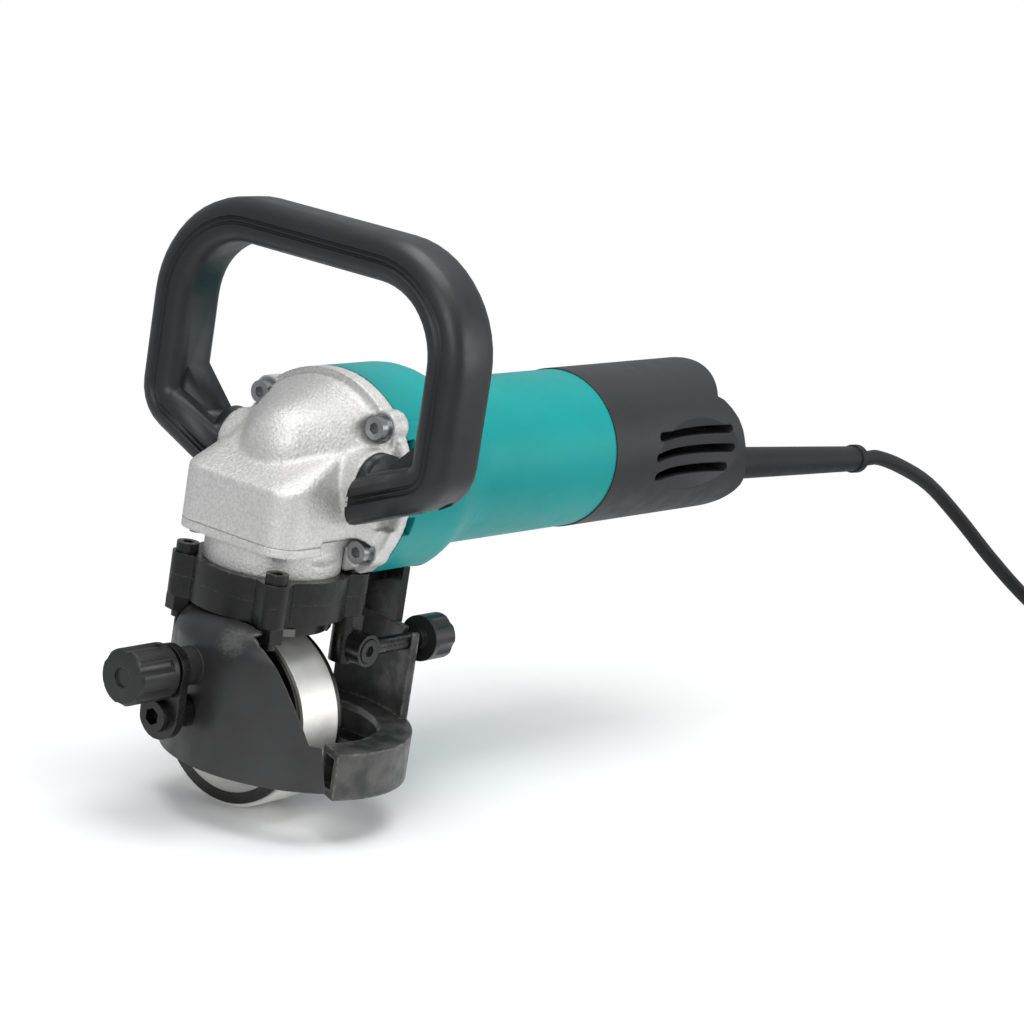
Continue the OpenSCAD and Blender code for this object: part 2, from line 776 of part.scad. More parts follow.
module roller_face() {
  color("lightgrey") difference() {
    xcyl(roller_x, roller_x + 1, face_r, 0, roller_z);
    xcyl(roller_x - 1, roller_x + 2, roller_brg[1] + 1, 0, roller_z);
  }
}

module roller_bearings() {
  color("silver") {
    translate([roller_x + 1, 0, roller_z]) rotate([0, 90, 0]) bearing(roller_brg);
    translate([roller_end - roller_brg[2] - 0.5, 0, roller_z]) rotate([0, 90, 0]) bearing(roller_brg);
  }
}

module swing_bolt() {
  color([0.16, 0.16, 0.17]) difference() {
    union() {
      ycyl(eye_y0, eye_y1, eye_r, post_xy, swing_z);
      xcyl(post_xy, clamp_x + clamp_knob_l - 4, rod_r, swing_y, swing_z);
      xcyl(post_xy, post_xy + eye_r + 5, rod_r + 0.4, swing_y, swing_z);
    }
    ycyl(eye_y0 - 1, eye_y1 + 1, pivot_r + run_gap, post_xy, swing_z);
    ycyl(eye_y0 - 1, eye_y0 + 2.4, 5, post_xy, swing_z);
  }
}

module pivot_screw() {
  color("dimgrey") translate([post_xy, eye_y0 + 2.2, swing_z]) rotate([-90, 0, 0])
    socket_screw(pivot_r, eye_t - 2.2 + free_gap + 7.5, 4.7, 2.6);
}

module clamp_knob() {
  color([0.14, 0.14, 0.15]) translate([clamp_x, swing_y, swing_z]) rotate([0, 90, 0]) difference() {
    union() {
      cylinder(h = clamp_collar + 1, r = clamp_knob_r * 0.45);
      translate([0, 0, clamp_collar]) fluted(clamp_knob_r, clamp_knob_l - clamp_collar, 5, 4.5);
    }
    translate([0, 0, -1]) cylinder(h = clamp_knob_l - 1, r = rod_r + run_gap);
  }
}

module spindle() {
  color("silver") difference() {
    union() {
      zcyl(cutter_z + cutter_head_h, cutter_z + cutter_t, cutter_bore);
      zcyl(cutter_z + cutter_t, lower_brg_z - 0.3, lower_brg[0] + 1.5);
      zcyl(lower_brg_z - 0.3, lower_brg_z + lower_brg[2] + 1, lower_brg[0]);
      zcyl(lower_brg_z + lower_brg[2] + 0.5, gear_z - tooth_h - gear_t, lower_brg[0] + 1);
      zcyl(gear_z - tooth_h - gear_t, gear_z - tooth_h + 1, gear_bore);
      zcyl(gear_z - tooth_h, upper_brg_z + upper_brg[2] - 1, upper_brg[0]);
    }
    zcyl(cutter_z, cutter_z + 13, cutter_thread_r);
  }
}

module bevel_gear() {
  // Crown gear: radial teeth stand on its upper face
  color("darkgrey") difference() {
    union() {
      zcyl(gear_z - tooth_h - gear_t, gear_z - tooth_h, gear_r);
      for (i = [0:gear_teeth - 1]) rotate(i * 360 / gear_teeth)
        translate([gear_r - pinion_l + 1, -0.7, gear_z - tooth_h - 1]) cube([pinion_l - 1.5, 1.4, tooth_h + 1]);
    }
    zcyl(gear_z - 20, gear_z + 1, gear_bore);
  }
}

module drive_pinion() {
  color("darkgrey") difference() {
    union() {
      xcyl(pinion_x, pinion_x + pinion_l, pinion_root, 0, axis_h);
      for (i = [0:pinion_teeth - 1]) translate([pinion_x, 0, axis_h]) rotate([i * 360 / pinion_teeth, 0, 0])
        translate([0, -0.8, pinion_root - 1.5]) cube([pinion_l, 1.6, pinion_r - pinion_root + 1.4]);
    }
    xcyl(pinion_x - 1, pinion_x + pinion_l + 1, rear_brg[0], 0, axis_h);
  }
}

module bevel_cutter() {
  color("lightslategrey") difference() {
    zcyl(cutter_z, cutter_z + cutter_t, cutter_r);
    zcyl(cutter_z - 1, cutter_z + cutter_t + 1, cutter_bore);
    zcyl(cutter_z - 1, cutter_z + cutter_head_h, cutter_head_r + seat_gap);
    insert_seats(1);
  }
}

module insert_seats(over) {
  for (i = [0:insert_count - 1]) rotate(i * 360 / insert_count)
    translate([cutter_r - insert_l + 0.6, -insert_w / 2, cutter_z - over + 0.01])
      cube([insert_l + (over > 0 ? 2 : 0), insert_w, insert_t + over]);
}

module cutter_inserts() {
  color("gold") insert_seats(0);
}

module cutter_screw() {
  color("dimgrey") translate([0, 0, cutter_z + cutter_head_h])
    socket_screw(cutter_thread_r, 10, cutter_head_r, cutter_head_h - 0.1);
}

fan_x = 42;
fan_w = 12;
fan_hub = 11;
fan_blades = 9;
winding_l = 8;
commutator_x = core_end + winding_l + 4;
commutator_l = 16;
shaft_end = rear_brg_x + rear_brg[2] + 1;

module armature_shaft() {
  color("silver") {
    xcyl(pinion_x - 0.5, front_brg_x, rear_brg[0], 0, axis_h);
    xcyl(front_brg_x - 1, front_brg_x + front_brg[2] + 1, front_brg[0], 0, axis_h);
    xcyl(front_brg_x + front_brg[2] + 1, rear_brg_x - 0.5, shaft_r, 0, axis_h);
    xcyl(rear_brg_x - 1, shaft_end, rear_brg[0], 0, axis_h);
  }
}

module cooling_fan() {
  color("dimgrey") difference() {
    union() {
      xcyl(fan_x, fan_x + fan_w, fan_hub, 0, axis_h);
      xcyl(fan_x + fan_w - 2, fan_x + fan_w, fan_r, 0, axis_h);
      for (i = [0:fan_blades - 1]) translate([fan_x, 0, axis_h]) rotate([i * 360 / fan_blades, 0, 0])
        rotate([12, 0, 0]) translate([0, -1, fan_hub - 3]) cube([fan_w - 1, 2, fan_r - fan_hub + 2.5]);
    }
    xcyl(fan_x - 1, fan_x + fan_w + 1, shaft_r, 0, axis_h);
  }
}

module rotor_core() {
  color("slategrey") difference() {
    xcyl(core_x, core_end, rotor_r, 0, axis_h);
    xcyl(core_x - 1, core_end + 1, shaft_r, 0, axis_h);
    for (i = [0:11]) translate([core_x - 1, 0, axis_h]) rotate([i * 30, 0, 0])
      translate([0, -1, rotor_r - 1.6]) cube([core_l + 2, 2, 3]);
  }
}

module rotor_windings() {
  color("chocolate") for (x = [core_x - winding_l, core_end]) difference() {
    xcyl(x, x + winding_l, rotor_r - 2.5, 0, axis_h);
    xcyl(x - 1, x + winding_l + 1, shaft_r, 0, axis_h);
  }
}

module commutator() {
  color("peru") difference() {
    xcyl(commutator_x, commutator_x + commutator_l, commutator_r, 0, axis_h);
    xcyl(commutator_x - 1, commutator_x + commutator_l + 1, shaft_r, 0, axis_h);
  }
}

// Exhaust slots of the bell, as angles from the near side, and the screw bosses inside it
exhaust = [27, -14];
exhaust_w = 8;
exhaust_l = 4;
screw_boss_l = 15;

module motor_outline() {
  // Half section of the bell and barrel, x across and radius up
  polygon([[flange_end, 0], [flange_end, flange_r],
    for (i = [0:bell_steps]) [bell_x + (barrel_x - bell_x) * i / bell_steps,
      flange_r + (barrel_r - flange_r) * ease(i / bell_steps)],
    [barrel_end, barrel_r], [barrel_end, rear_in - seat_gap], [spigot_x, rear_in - seat_gap],
    [spigot_x, 0]]);
}

module motor_inside() {
  polygon([[flange_end - 1, 0], [flange_end - 1, bell_in], [bell_x, bell_in],
    [barrel_x - 10, barrel_in], [rear_brg_x - 1, barrel_in], [rear_brg_x - 1, 0]]);
}

module about_motor_axis() {
  translate([0, 0, axis_h]) rotate([0, 90, 0]) rotate_extrude($fn = 96)
    rotate(-90) mirror([1, 0]) children();
}

module bell_underside(floor) {
  // Everything under the bell's flat underside, which runs out towards the barrel
  z = ring_z + ring_clear + floor;
  translate([0, 60, 0]) rotate([90, 0, 0]) linear_extrude(120)
    polygon([[flange_end - 5, z], [bell_x + 5, z], [bell_x + 18, z - 14], [flange_end - 5, z - 14]]);
}

module motor_housing() {
  color([0.12, 0.62, 0.6]) difference() {
    union() {
      difference() {
        about_motor_axis() motor_outline();
        difference() {
          about_motor_axis() motor_inside();
          bell_underside(bell_floor);
        }
        xcyl(rear_brg_x + rear_brg[2] + 2, spigot_x + 1, barrel_in - 4, 0, axis_h);
      }
      intersection() {
        at_flange_screws() xcyl(flange_end, flange_end + screw_boss_l, case_screw_r + 3);
        xcyl(flange_end, bell_x, flange_r - 0.5, 0, axis_h);
      }
    }
    bell_underside(0);
    bolt_reliefs();
    at_flange_screws() xcyl(flange_end - 1, flange_end + screw_boss_l - 1, case_screw_r + seat_gap);
    xcyl(rear_brg_x - 2, rear_brg_x + rear_brg[2] + 0.5, rear_brg[1] + seat_gap / 2, 0, axis_h);
    xcyl(rear_brg_x, spigot_x, rear_brg[0] + 2, 0, axis_h);
    // Air ways through the rear wall and exhaust slots at the bell's front edge
    for (a = [45:90:315]) translate([0, 0, axis_h]) rotate([a, 0, 0])
      xcyl(rear_brg_x - 2, spigot_x, 5, 0, 19);
    both_sides() for (a = exhaust) translate([0, 0, axis_h]) rotate([-a, 0, 0])
      translate([flange_end - 1, -flange_r - 1, -exhaust_w / 2]) cube([exhaust_l + 1, 8, exhaust_w]);
  }
}

stator_r = barrel_in - seat_gap;
stator_in = rotor_r + air_gap;
coil_x = core_x + core_l;

module stator() {
  color("grey") difference() {
    xcyl(core_x, core_end, stator_r, 0, axis_h);
    xcyl(core_x - 1, core_end + 1, stator_in, 0, axis_h);
    for (s = [-1, 1]) translate([core_x - 1, -11, axis_h + (s > 0 ? stator_in - 1 : -stator_in - 5)])
      cube([core_l + 2, 22, 6]);
  }
}

module field_coils() {
  // Coil ends before and behind the core
  color("sienna") for (x = [core_x - winding_l + 1, core_end]) difference() {
    xcyl(x, x + winding_l - 1, stator_r - 3, 0, axis_h);
    xcyl(x - 1, x + winding_l, stator_in + 1, 0, axis_h);
  }
}

brush_x = commutator_x + commutator_l / 2;
brush_w = 8;
brush_h = 5;
brush_l = 9;

module brush_holders() {
  color("goldenrod") both_sides() translate([brush_x, 0, axis_h]) difference() {
    translate([-brush_w / 2 - 2, -barrel_in + 1, -brush_h / 2 - 2])
      cube([brush_w + 4, barrel_in - commutator_r - 3, brush_h + 4]);
    translate([-brush_w / 2 - seat_gap, -barrel_in, -brush_h / 2 - seat_gap])
      cube([brush_w + 2 * seat_gap, barrel_in, brush_h + 2 * seat_gap]);
  }
}

module carbon_brushes() {
  color([0.2, 0.2, 0.2]) both_sides() translate([brush_x, 0, axis_h])
    translate([-brush_w / 2, -commutator_r - free_gap - brush_l, -brush_h / 2])
      cube([brush_w, brush_l, brush_h]);
}

rear_in = rear_r - rear_t;
dish_r = 90;
dish_depth = 5.5;
dish_x = 238;
vent_rows = [[10.2, 209, 262], [1.5, 207, 265], [-7.1, 209, 262]];
switch_x = 190;
switch_l = 14;
switch_w = 11;
switch_up = 10;
switch_in = 2.2;
switch_out = 2.3;
block_l = 34;
block_y = 23.5;

module rear_outline() {
  // Side view of the rear housing, x across and height from the motor axis up
  polygon([[barrel_end, -rear_r], [barrel_end, 23.5], [rear_end_x - 24.5, 23.5], [rear_end_x - 21, 22],
      [rear_end_x - 17.4, 18.4], [rear_end_x - 14.3, 14.4], [rear_end_x - 12, 9.5], [rear_end_x - 10.2, 3.8],
      [rear_end_x - 8, -2.2], [rear_end_x - 4.6, -8.7], [rear_end_x - 1.2, -14.5], [rear_end_x, -18],
      [rear_end_x - 0.2, -21.5], [rear_end_x - 2.6, -27], [rear_end_x - 7.6, 3 - rear_r],
      [rear_end_x - 16, -rear_r]]);
}

module rear_cap() {
  // Upper part of the rear housing, with its end rounded as seen from above
  top_mid = rear_top_x + 10 - rear_r;
  translate([barrel_end, -rear_r - 1, axis_h]) cube([top_mid - barrel_end, 2 * rear_r + 2, rear_r + 1]);
  zcyl(axis_h, axis_h + rear_r + 1, rear_r, top_mid, 0);
}

module flank_dish(r) {
  translate([dish_x, -rear_r - dish_r + dish_depth, axis_h + 1.5]) sphere(r, $fn = 128);
}

module rear_housing() {
  color([0.22, 0.22, 0.23]) difference() {
    union() {
      intersection() {
        xcyl(barrel_end, rear_end_x + 1, rear_r, 0, axis_h);
        union() {
          translate([0, 50, axis_h]) rotate([90, 0, 0]) linear_extrude(100) rear_outline();
          rear_cap();
        }
      }
      translate([rear_end_x - tail_in, 0, boot_z]) rotate([0, 90, 0])
        cylinder(h = tail_l + tail_in, r1 = boot_r + 6.5, r2 = boot_r + 3.5);
    }
    difference() {
      xcyl(barrel_end - 1, rear_top_x, rear_in, 0, axis_h);
      both_sides() flank_dish(dish_r + rear_t);
    }
    // Hollow of the lower tail and the hole for the boot
    xcyl(rear_top_x - 1, rear_end_x - 12, 14, 0, axis_h - 17);
    xcyl(rear_end_x - 12, rear_end_x + tail_l + 2, boot_r - 1.5, 0, boot_z);
    // Dished flanks with the air slots
    both_sides() {
      flank_dish(dish_r);
      for (v = vent_rows) {
        translate([v[1], -rear_r - 1, axis_h + v[0] - vent_h / 2]) cube([v[2] - v[1], 16, vent_h]);
        for (x = [v[1], v[2]]) ycyl(-rear_r - 1, -rear_r + 15, vent_h / 2, x, axis_h + v[0]);
      }
    }
    // Opening for the slide switch on the far side
    translate([switch_x - switch_travel - 0.6, rear_in - 8, axis_h + switch_up - switch_w / 2 - 0.5])
      cube([switch_l + switch_travel + 1.2, 20, switch_w + 1]);
  }
}

module switch_block() {
  top = sqrt((rear_in - 0.2) * (rear_in - 0.2) - block_y * block_y);
  color("black") translate([switch_x - switch_travel, 0, axis_h]) cube([block_l, block_y, top]);
}

module slide_switch() {
  color("black") difference() {
    intersection() {
      translate([switch_x, 0, axis_h + switch_up - switch_w / 2]) cube([switch_l, 60, switch_w]);
      xcyl(switch_x - 1, switch_x + switch_l + 1, rear_r + switch_out, 0, axis_h);
    }
    xcyl(switch_x - 1, switch_x + switch_l + 1, rear_in - switch_in, 0, axis_h);
    for (i = [0:3]) translate([switch_x + 2 + i * 2.8, 0, axis_h]) rotate([0, 90, 0]) difference() {
      cylinder(h = 1.4, r = rear_r + switch_out + 1);
      translate([0, 0, -1]) cylinder(h = 4, r = rear_r + switch_out - 0.8);
    }
  }
}

// Bow handle, drawn in its own plane: across the machine and up from the motor axis
low_corner = [bow_hw, 15.5];
low_slope = 23.2;
low_turn = 90 - low_slope;
low_tangent = bow_low_bend * tan(low_turn / 2);
low_end_y = pad_y + foot_t - 2;
low_leg = (bow_hw - low_end_y) / cos(low_slope) - low_tangent;
bow_round = 7;
groove_w = 1.6;
groove_d = 1.2;
groove_u = bow_t / 2 - bow_round - groove_w / 2 - 0.2;

// Section of the bow: thickness across and depth along the motor, with a groove on either side of
// the flat band that faces forward
bow_corner_steps = 4;
function bow_arc(cx, cy, a0) = [for (i = [0:bow_corner_steps]) let (a = a0 + 90 * i / bow_corner_steps)
  [cx * (bow_t / 2 - bow_round) + bow_round * cos(a), cy * (bow_d / 2 - bow_round) + bow_round * sin(a)]];
function bow_groove(u) = [[u - groove_w / 2, -bow_d / 2], [u - groove_w / 2, groove_d - bow_d / 2],
  [u + groove_w / 2, groove_d - bow_d / 2], [u + groove_w / 2, -bow_d / 2]];
bow_section = concat(bow_arc(1, 1, 0), bow_arc(-1, 1, 90), bow_arc(-1, -1, 180),
  bow_groove(-groove_u), bow_groove(groove_u), bow_arc(1, -1, 270));

// Middle line of the bow from the grip to one foot: across, up, and the way that it runs
bow_low = low_corner[1] + low_tangent;
bow_bend_steps = 13;
bow_low_steps = 5;
bow_half = concat([[0, bow_rise, 0]],
  [for (i = [0:bow_bend_steps]) let (a = 90 * i / bow_bend_steps)
    [bow_hw - bow_bend + bow_bend * sin(a), bow_rise - bow_bend + bow_bend * cos(a), -a]],
  [for (i = [0:bow_low_steps]) let (a = low_turn * i / bow_low_steps)
    [bow_hw - bow_low_bend + bow_low_bend * cos(a), bow_low - bow_low_bend * sin(a), -90 - a]],
  [[low_end_y - 6, low_corner[1] - (bow_hw - low_end_y + 6) * tan(low_slope), low_slope - 180]]);
bow_line = concat([for (i = [len(bow_half) - 1:-1:1]) [-bow_half[i][0], bow_half[i][1], -bow_half[i][2]]],
  bow_half);

module bow_bar() {
  n = len(bow_section);
  m = len(bow_line);
  pts = [for (p = bow_line, s = bow_section)
    [bow_x + s[1], p[0] - s[0] * sin(p[2]), axis_h + p[1] + s[0] * cos(p[2])]];
  sides = [for (i = [0:m - 2], k = [0:n - 1]) let (a = i * n + k, b = i * n + (k + 1) % n)
    each [[a, a + n, b], [b, a + n, b + n]]];
  polyhedron(pts, concat(sides, [[for (k = [0:n - 1]) k]],
    [[for (k = [n - 1:-1:0]) (m - 1) * n + k]]), convexity = 10);
}

module bow_web() {
  // Web in the lower corner of one arm
  in = bow_hw - bow_t / 2;
  translate([bow_x - 4, 0, axis_h]) rotate([90, 0, 90]) linear_extrude(bow_d / 2)
    polygon([[in + 1, bow_low + 9], [in + 1, bow_low - 8], [in - 14, bow_low - 12], [in - 14, bow_low - 6]]);
}

module bow_handle() {
  color([0.16, 0.16, 0.17]) difference() {
    union() {
      bow_bar();
      both_sides() {
        bow_web();
        ycyl(pad_y, pad_y + foot_t, foot_r, foot_x, foot_z);
      }
    }
    translate([-50, -pad_y, axis_h - 50]) cube([100, 2 * pad_y, 100]);
    both_sides() {
      ycyl(pad_y - 1, pad_y + 40, handle_screw_r + seat_gap, foot_x, foot_z);
      ycyl(pad_y + foot_t, pad_y + 30, handle_screw_r + 3, foot_x, foot_z);
    }
  }
}

module handle_screws() {
  color("silver") both_sides() translate([foot_x, pad_y + foot_t, foot_z]) rotate([90, 0, 0])
    socket_screw(handle_screw_r, foot_t + 6, handle_screw_r + 2.4, 3.2);
}

boot_z = axis_h - 17.6;
tail_l = 22;
tail_in = 8;
boot_x = rear_end_x + tail_l + 0.7;
boot_tilt = 93.3;
boot_tip = [boot_x + boot_l * sin(boot_tilt), 0, boot_z + boot_l * cos(boot_tilt)];

module strain_relief() {
  color([0.1, 0.1, 0.1]) {
    xcyl(rear_end_x - 10, boot_x + 2, boot_r - 1.6, 0, boot_z);
    translate([boot_x, 0, boot_z]) rotate([0, boot_tilt, 0]) {
      cylinder(h = boot_l - 4, r1 = boot_r, r2 = boot_tip_r);
      translate([0, 0, boot_l - 4.5]) cylinder(h = 4.5, r = boot_tip_r + 0.8);
    }
  }
}

// Cord: from the boot's tip it droops and lies down to its coil
coil_r0 = 27;
coil_pitch = 9.4;
coil_turns = 3;
coil_rise = 8.8;
coil_steps = 24;
coil_r1 = coil_r0 + coil_pitch * coil_turns;
tie_t = 0.8;
coil_z = cord_d / 2 + tie_t + 0.4;
coil_mid = [665, -75];
cord_lead = cord_d * 1.2;
boot_dir = [sin(boot_tilt), 0, cos(boot_tilt)];
coil_in = [coil_mid[0] - cord_lead, coil_mid[1] + coil_r1, coil_z];
cord_points = [boot_tip, boot_tip + 1.2 * cord_lead * boot_dir, boot_tip + 2.4 * cord_lead * boot_dir,
  [480, 0, 98], [512, -0.5, 86], [545, -3, 66.5], [576, -8, 44.5], [603, -13, 26], [625, -17, 12.5],
  coil_in - [1.6 * cord_lead, 0, 0], coil_in - [0.8 * cord_lead, 0, 0], coil_in];
cord_fine = 4;

function spline(a, b, c, d, t) = 0.5 * (2 * b + (c - a) * t + (2 * a - 5 * b + 4 * c - d) * t * t
  + (3 * b - a - 3 * c + d) * t * t * t);
function smooth(p, n) = [for (i = [0:len(p) - 2], k = [0:n - 1])
  spline(p[max(i - 1, 0)], p[i], p[i + 1], p[min(i + 2, len(p) - 1)], k / n), p[len(p) - 1]];
function unit(v) = v / norm(v);
function tangent(p, i) = i == 0 ? unit(p[1] - p[0])
  : i == len(p) - 1 ? unit(p[i] - p[i - 1]) : unit(p[i + 1] - p[i - 1]);
function ring_at(c, t, r, n) = let (s = unit(cross(t, [0, 0, 1])), u = cross(s, t))
  [for (k = [0:n - 1]) c + r * (cos(360 * k / n) * s + sin(360 * k / n) * u)];

module tube(p, r, n) {
  m = len(p);
  pts = [for (i = [0:m - 1]) each ring_at(p[i], tangent(p, i), r, n)];
  sides = [for (i = [0:m - 2], k = [0:n - 1]) let (a = i * n + k, b = i * n + (k + 1) % n)
    each [[a, b, a + n], [b, b + n, a + n]]];
  caps = [for (k = [1:n - 2]) each [[0, k + 1, k], [(m - 1) * n, (m - 1) * n + k, (m - 1) * n + k + 1]]];
  polyhedron(pts, concat(sides, caps), convexity = 10);
}

// The coil spirals in on the floor, climbs in half a turn and spirals out again on top
coil_span = 2 * coil_turns + 0.5;
function coil_radius(t) = t < coil_turns ? coil_r1 - coil_pitch * t
  : t < coil_turns + 0.5 ? coil_r0 : coil_r0 + coil_pitch * (t - coil_turns - 0.5);
function coil_height(t) = t < coil_turns ? coil_z
  : t < coil_turns + 0.5 ? coil_z + coil_rise * ease((t - coil_turns) * 2) : coil_z + coil_rise;
function coil_point(t) = [coil_mid[0] + coil_radius(t) * sin(360 * t),
  coil_mid[1] + coil_radius(t) * cos(360 * t), coil_height(t)];
coil_last = coil_point(coil_span);
coil_line = [for (i = [0:coil_span * coil_steps]) coil_point(i / coil_steps)];
coil_out = [coil_in, for (p = coil_line) p,
  coil_last - [cord_lead, 0, 0], coil_last - [2 * cord_lead, 0, 0]];
plug_at = coil_last - [2 * cord_lead, 0, 0];
coil_gaps = [for (i = [0:len(coil_line) - 1]) min([for (j = [0:len(coil_line) - 1])
  abs(i - j) > coil_steps / 3 ? norm(coil_line[i] - coil_line[j]) : 1000])];
echo(coil_least_gap = min(coil_gaps) - cord_d);

module cord() {
  color([0.08, 0.08, 0.08]) tube(smooth(cord_points, cord_fine), cord_d / 2, 8);
}

module cord_coil() {
  color([0.08, 0.08, 0.08]) tube(coil_out, cord_d / 2, 6);
}

tie_w = 9;

module cord_tie() {
  // Flat band round the coil's turns, on the side away from the machine
  y = coil_mid[1];
  h = coil_z + coil_rise + cord_d / 2 + 0.5;
  x0 = coil_mid[0] + coil_r0 - cord_d / 2 - 5;
  x1 = coil_mid[0] + coil_r1 + cord_d / 2 + 3;
  color([0.12, 0.12, 0.12]) difference() {
    translate([x0 - tie_t, y - tie_w / 2, 0]) cube([x1 - x0 + 2 * tie_t, tie_w, h + tie_t]);
    translate([x0, y - tie_w / 2 - 1, tie_t]) cube([x1 - x0, tie_w + 2, h - tie_t]);
  }
}

plug_hw = 18;
plug_l = 36;
plug_hh = coil_z + coil_rise;

module plug_body() {
  // Moulded two-pin plug lying on its flat side
  color([0.08, 0.08, 0.08]) translate(plug_at) rotate([0, -90, 0]) rotate(90) {
    cylinder(h = 14.5, r1 = cord_d / 2 + 1.5, r2 = cord_d / 2 + 3);
    hull() {
      for (s = [-1, 1]) translate([s * 5, 0, 14]) cylinder(h = 1, r = 8, $fn = 32);
      for (s = [-1, 1]) translate([s * (plug_hw - plug_hh), 0, plug_l - 12])
        cylinder(h = 12, r = plug_hh, $fn = 32);
    }
  }
}

module plug_pins() {
  color("silver") for (s = [-1, 1]) translate(plug_at + [-plug_l, s * 9.5, 0]) {
    xcyl(-18, 0, 2.4);
    translate([-18, 0, 0]) sphere(2.4, $fn = 24);
  }
}

gear_case();
bearing_neck();
neck_screws();
flange_screws();
spindle_bearings();
armature_bearings();
clamp_ring_upper();
clamp_ring_lower();
ring_bolts();
ring_nuts();
swing_post();
hood();
guide_shoe();
shoe_screws();
lock_stud();
link_plate();
lock_knob();
eccentric_axle();
axle_retainer();
roller_core();
roller_tread();
roller_face();
roller_bearings();
swing_bolt();
pivot_screw();
clamp_knob();
spindle();
bevel_gear();
bevel_cutter();
cutter_inserts();
cutter_screw();
armature_shaft();
drive_pinion();
cooling_fan();
rotor_core();
rotor_windings();
commutator();
motor_housing();
stator();
field_coils();
brush_holders();
carbon_brushes();
rear_housing();
switch_block();
slide_switch();
bow_handle();
handle_screws();
strain_relief();
cord();
cord_coil();
cord_tie();
plug_body();
plug_pins();
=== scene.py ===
"""Looks of a pipe bevelling machine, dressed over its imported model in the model's own frame."""

from __future__ import annotations

import logging
import math
from dataclasses import dataclass, field
from enum import Enum

import bmesh
import bpy
from mathutils import Matrix, Vector

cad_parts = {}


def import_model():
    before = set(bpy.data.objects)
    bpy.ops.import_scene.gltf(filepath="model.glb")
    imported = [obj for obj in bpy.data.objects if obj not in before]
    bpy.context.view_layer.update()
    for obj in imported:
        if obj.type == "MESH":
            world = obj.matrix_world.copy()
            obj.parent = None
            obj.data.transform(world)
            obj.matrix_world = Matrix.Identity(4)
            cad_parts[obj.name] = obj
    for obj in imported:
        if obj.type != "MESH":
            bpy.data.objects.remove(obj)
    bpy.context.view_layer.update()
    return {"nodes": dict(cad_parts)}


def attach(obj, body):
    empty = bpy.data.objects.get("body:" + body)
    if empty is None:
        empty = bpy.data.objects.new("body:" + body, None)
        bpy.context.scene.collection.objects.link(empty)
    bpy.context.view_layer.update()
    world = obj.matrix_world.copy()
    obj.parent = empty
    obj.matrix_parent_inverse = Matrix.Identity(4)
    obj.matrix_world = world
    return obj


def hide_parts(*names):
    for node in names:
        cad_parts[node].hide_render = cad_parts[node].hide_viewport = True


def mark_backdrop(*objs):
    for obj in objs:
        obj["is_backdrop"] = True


LOG = logging.getLogger("bevelling_machine")
MM = 0.001
AXIS_H = 130.5

# Noise values between which a colour drifts, a gloss swings, a rubbed edge breaks up and the specks of a
# painted highlight show
DRIFT_RANGE = (0.38, 0.64)
GLOSS_RANGE = (0.3, 0.7)
CHIP_RANGE = (0.42, 0.62)
HIGHLIGHT_SPECK_RANGE = (0.26, 0.5)
# Sizes of the chips along a rubbed edge and of the specks of a painted highlight
CHIP_MM = 2.5
HIGHLIGHT_SPECK_MM = 1.6
# Agreement of the eased and the true normal where rubbing starts and where it is full
EDGE_TURN = (0.995, 0.86)
# Spacing of sand pits as a share of the grain
PIT_SHARE = 0.7


def linear(hex_colour: str) -> tuple[float, float, float, float]:
    """Turn an sRGB hex colour to the linear colour that shaders take.

    Args:
        hex_colour: Six hex digits after a hash mark.

    Returns:
        Linear red, green and blue, and an alpha of one.
    """
    parts = [int(hex_colour[i:i + 2], 16) / 255 for i in (1, 3, 5)]
    flat = [c / 12.92 if c <= 0.04045 else ((c + 0.055) / 1.055) ** 2.4 for c in parts]
    return flat[0], flat[1], flat[2], 1.0


def add_node(tree: bpy.types.NodeTree, kind: str, settings: dict | None = None,
             links: dict | None = None) -> bpy.types.Node:
    """Add one shader node with its settings and links.

    Args:
        tree: Node tree that takes the node.
        kind: Type name of the node.
        settings: Values by the name of an input socket or of a property.
        links: Output sockets by the name of the input socket that takes them.

    Returns:
        The new node.
    """
    node = tree.nodes.new(kind)
    for name, value in (settings or {}).items():
        if isinstance(name, int) or name in node.inputs:
            node.inputs[name].default_value = value
        else:
            setattr(node, name, value)
    for name, source in (links or {}).items():
        tree.links.new(source, node.inputs[name])
    return node


class Grain(Enum):
    """How a surface was made, which settles its fine relief."""

    CAST = "sand-cast skin"
    MOULDED = "spark-eroded mould texture"
    DRAWN = "long streaks along one axis"
    TURNED = "rings from a lathe tool"
    WOUND = "even turns of wire"


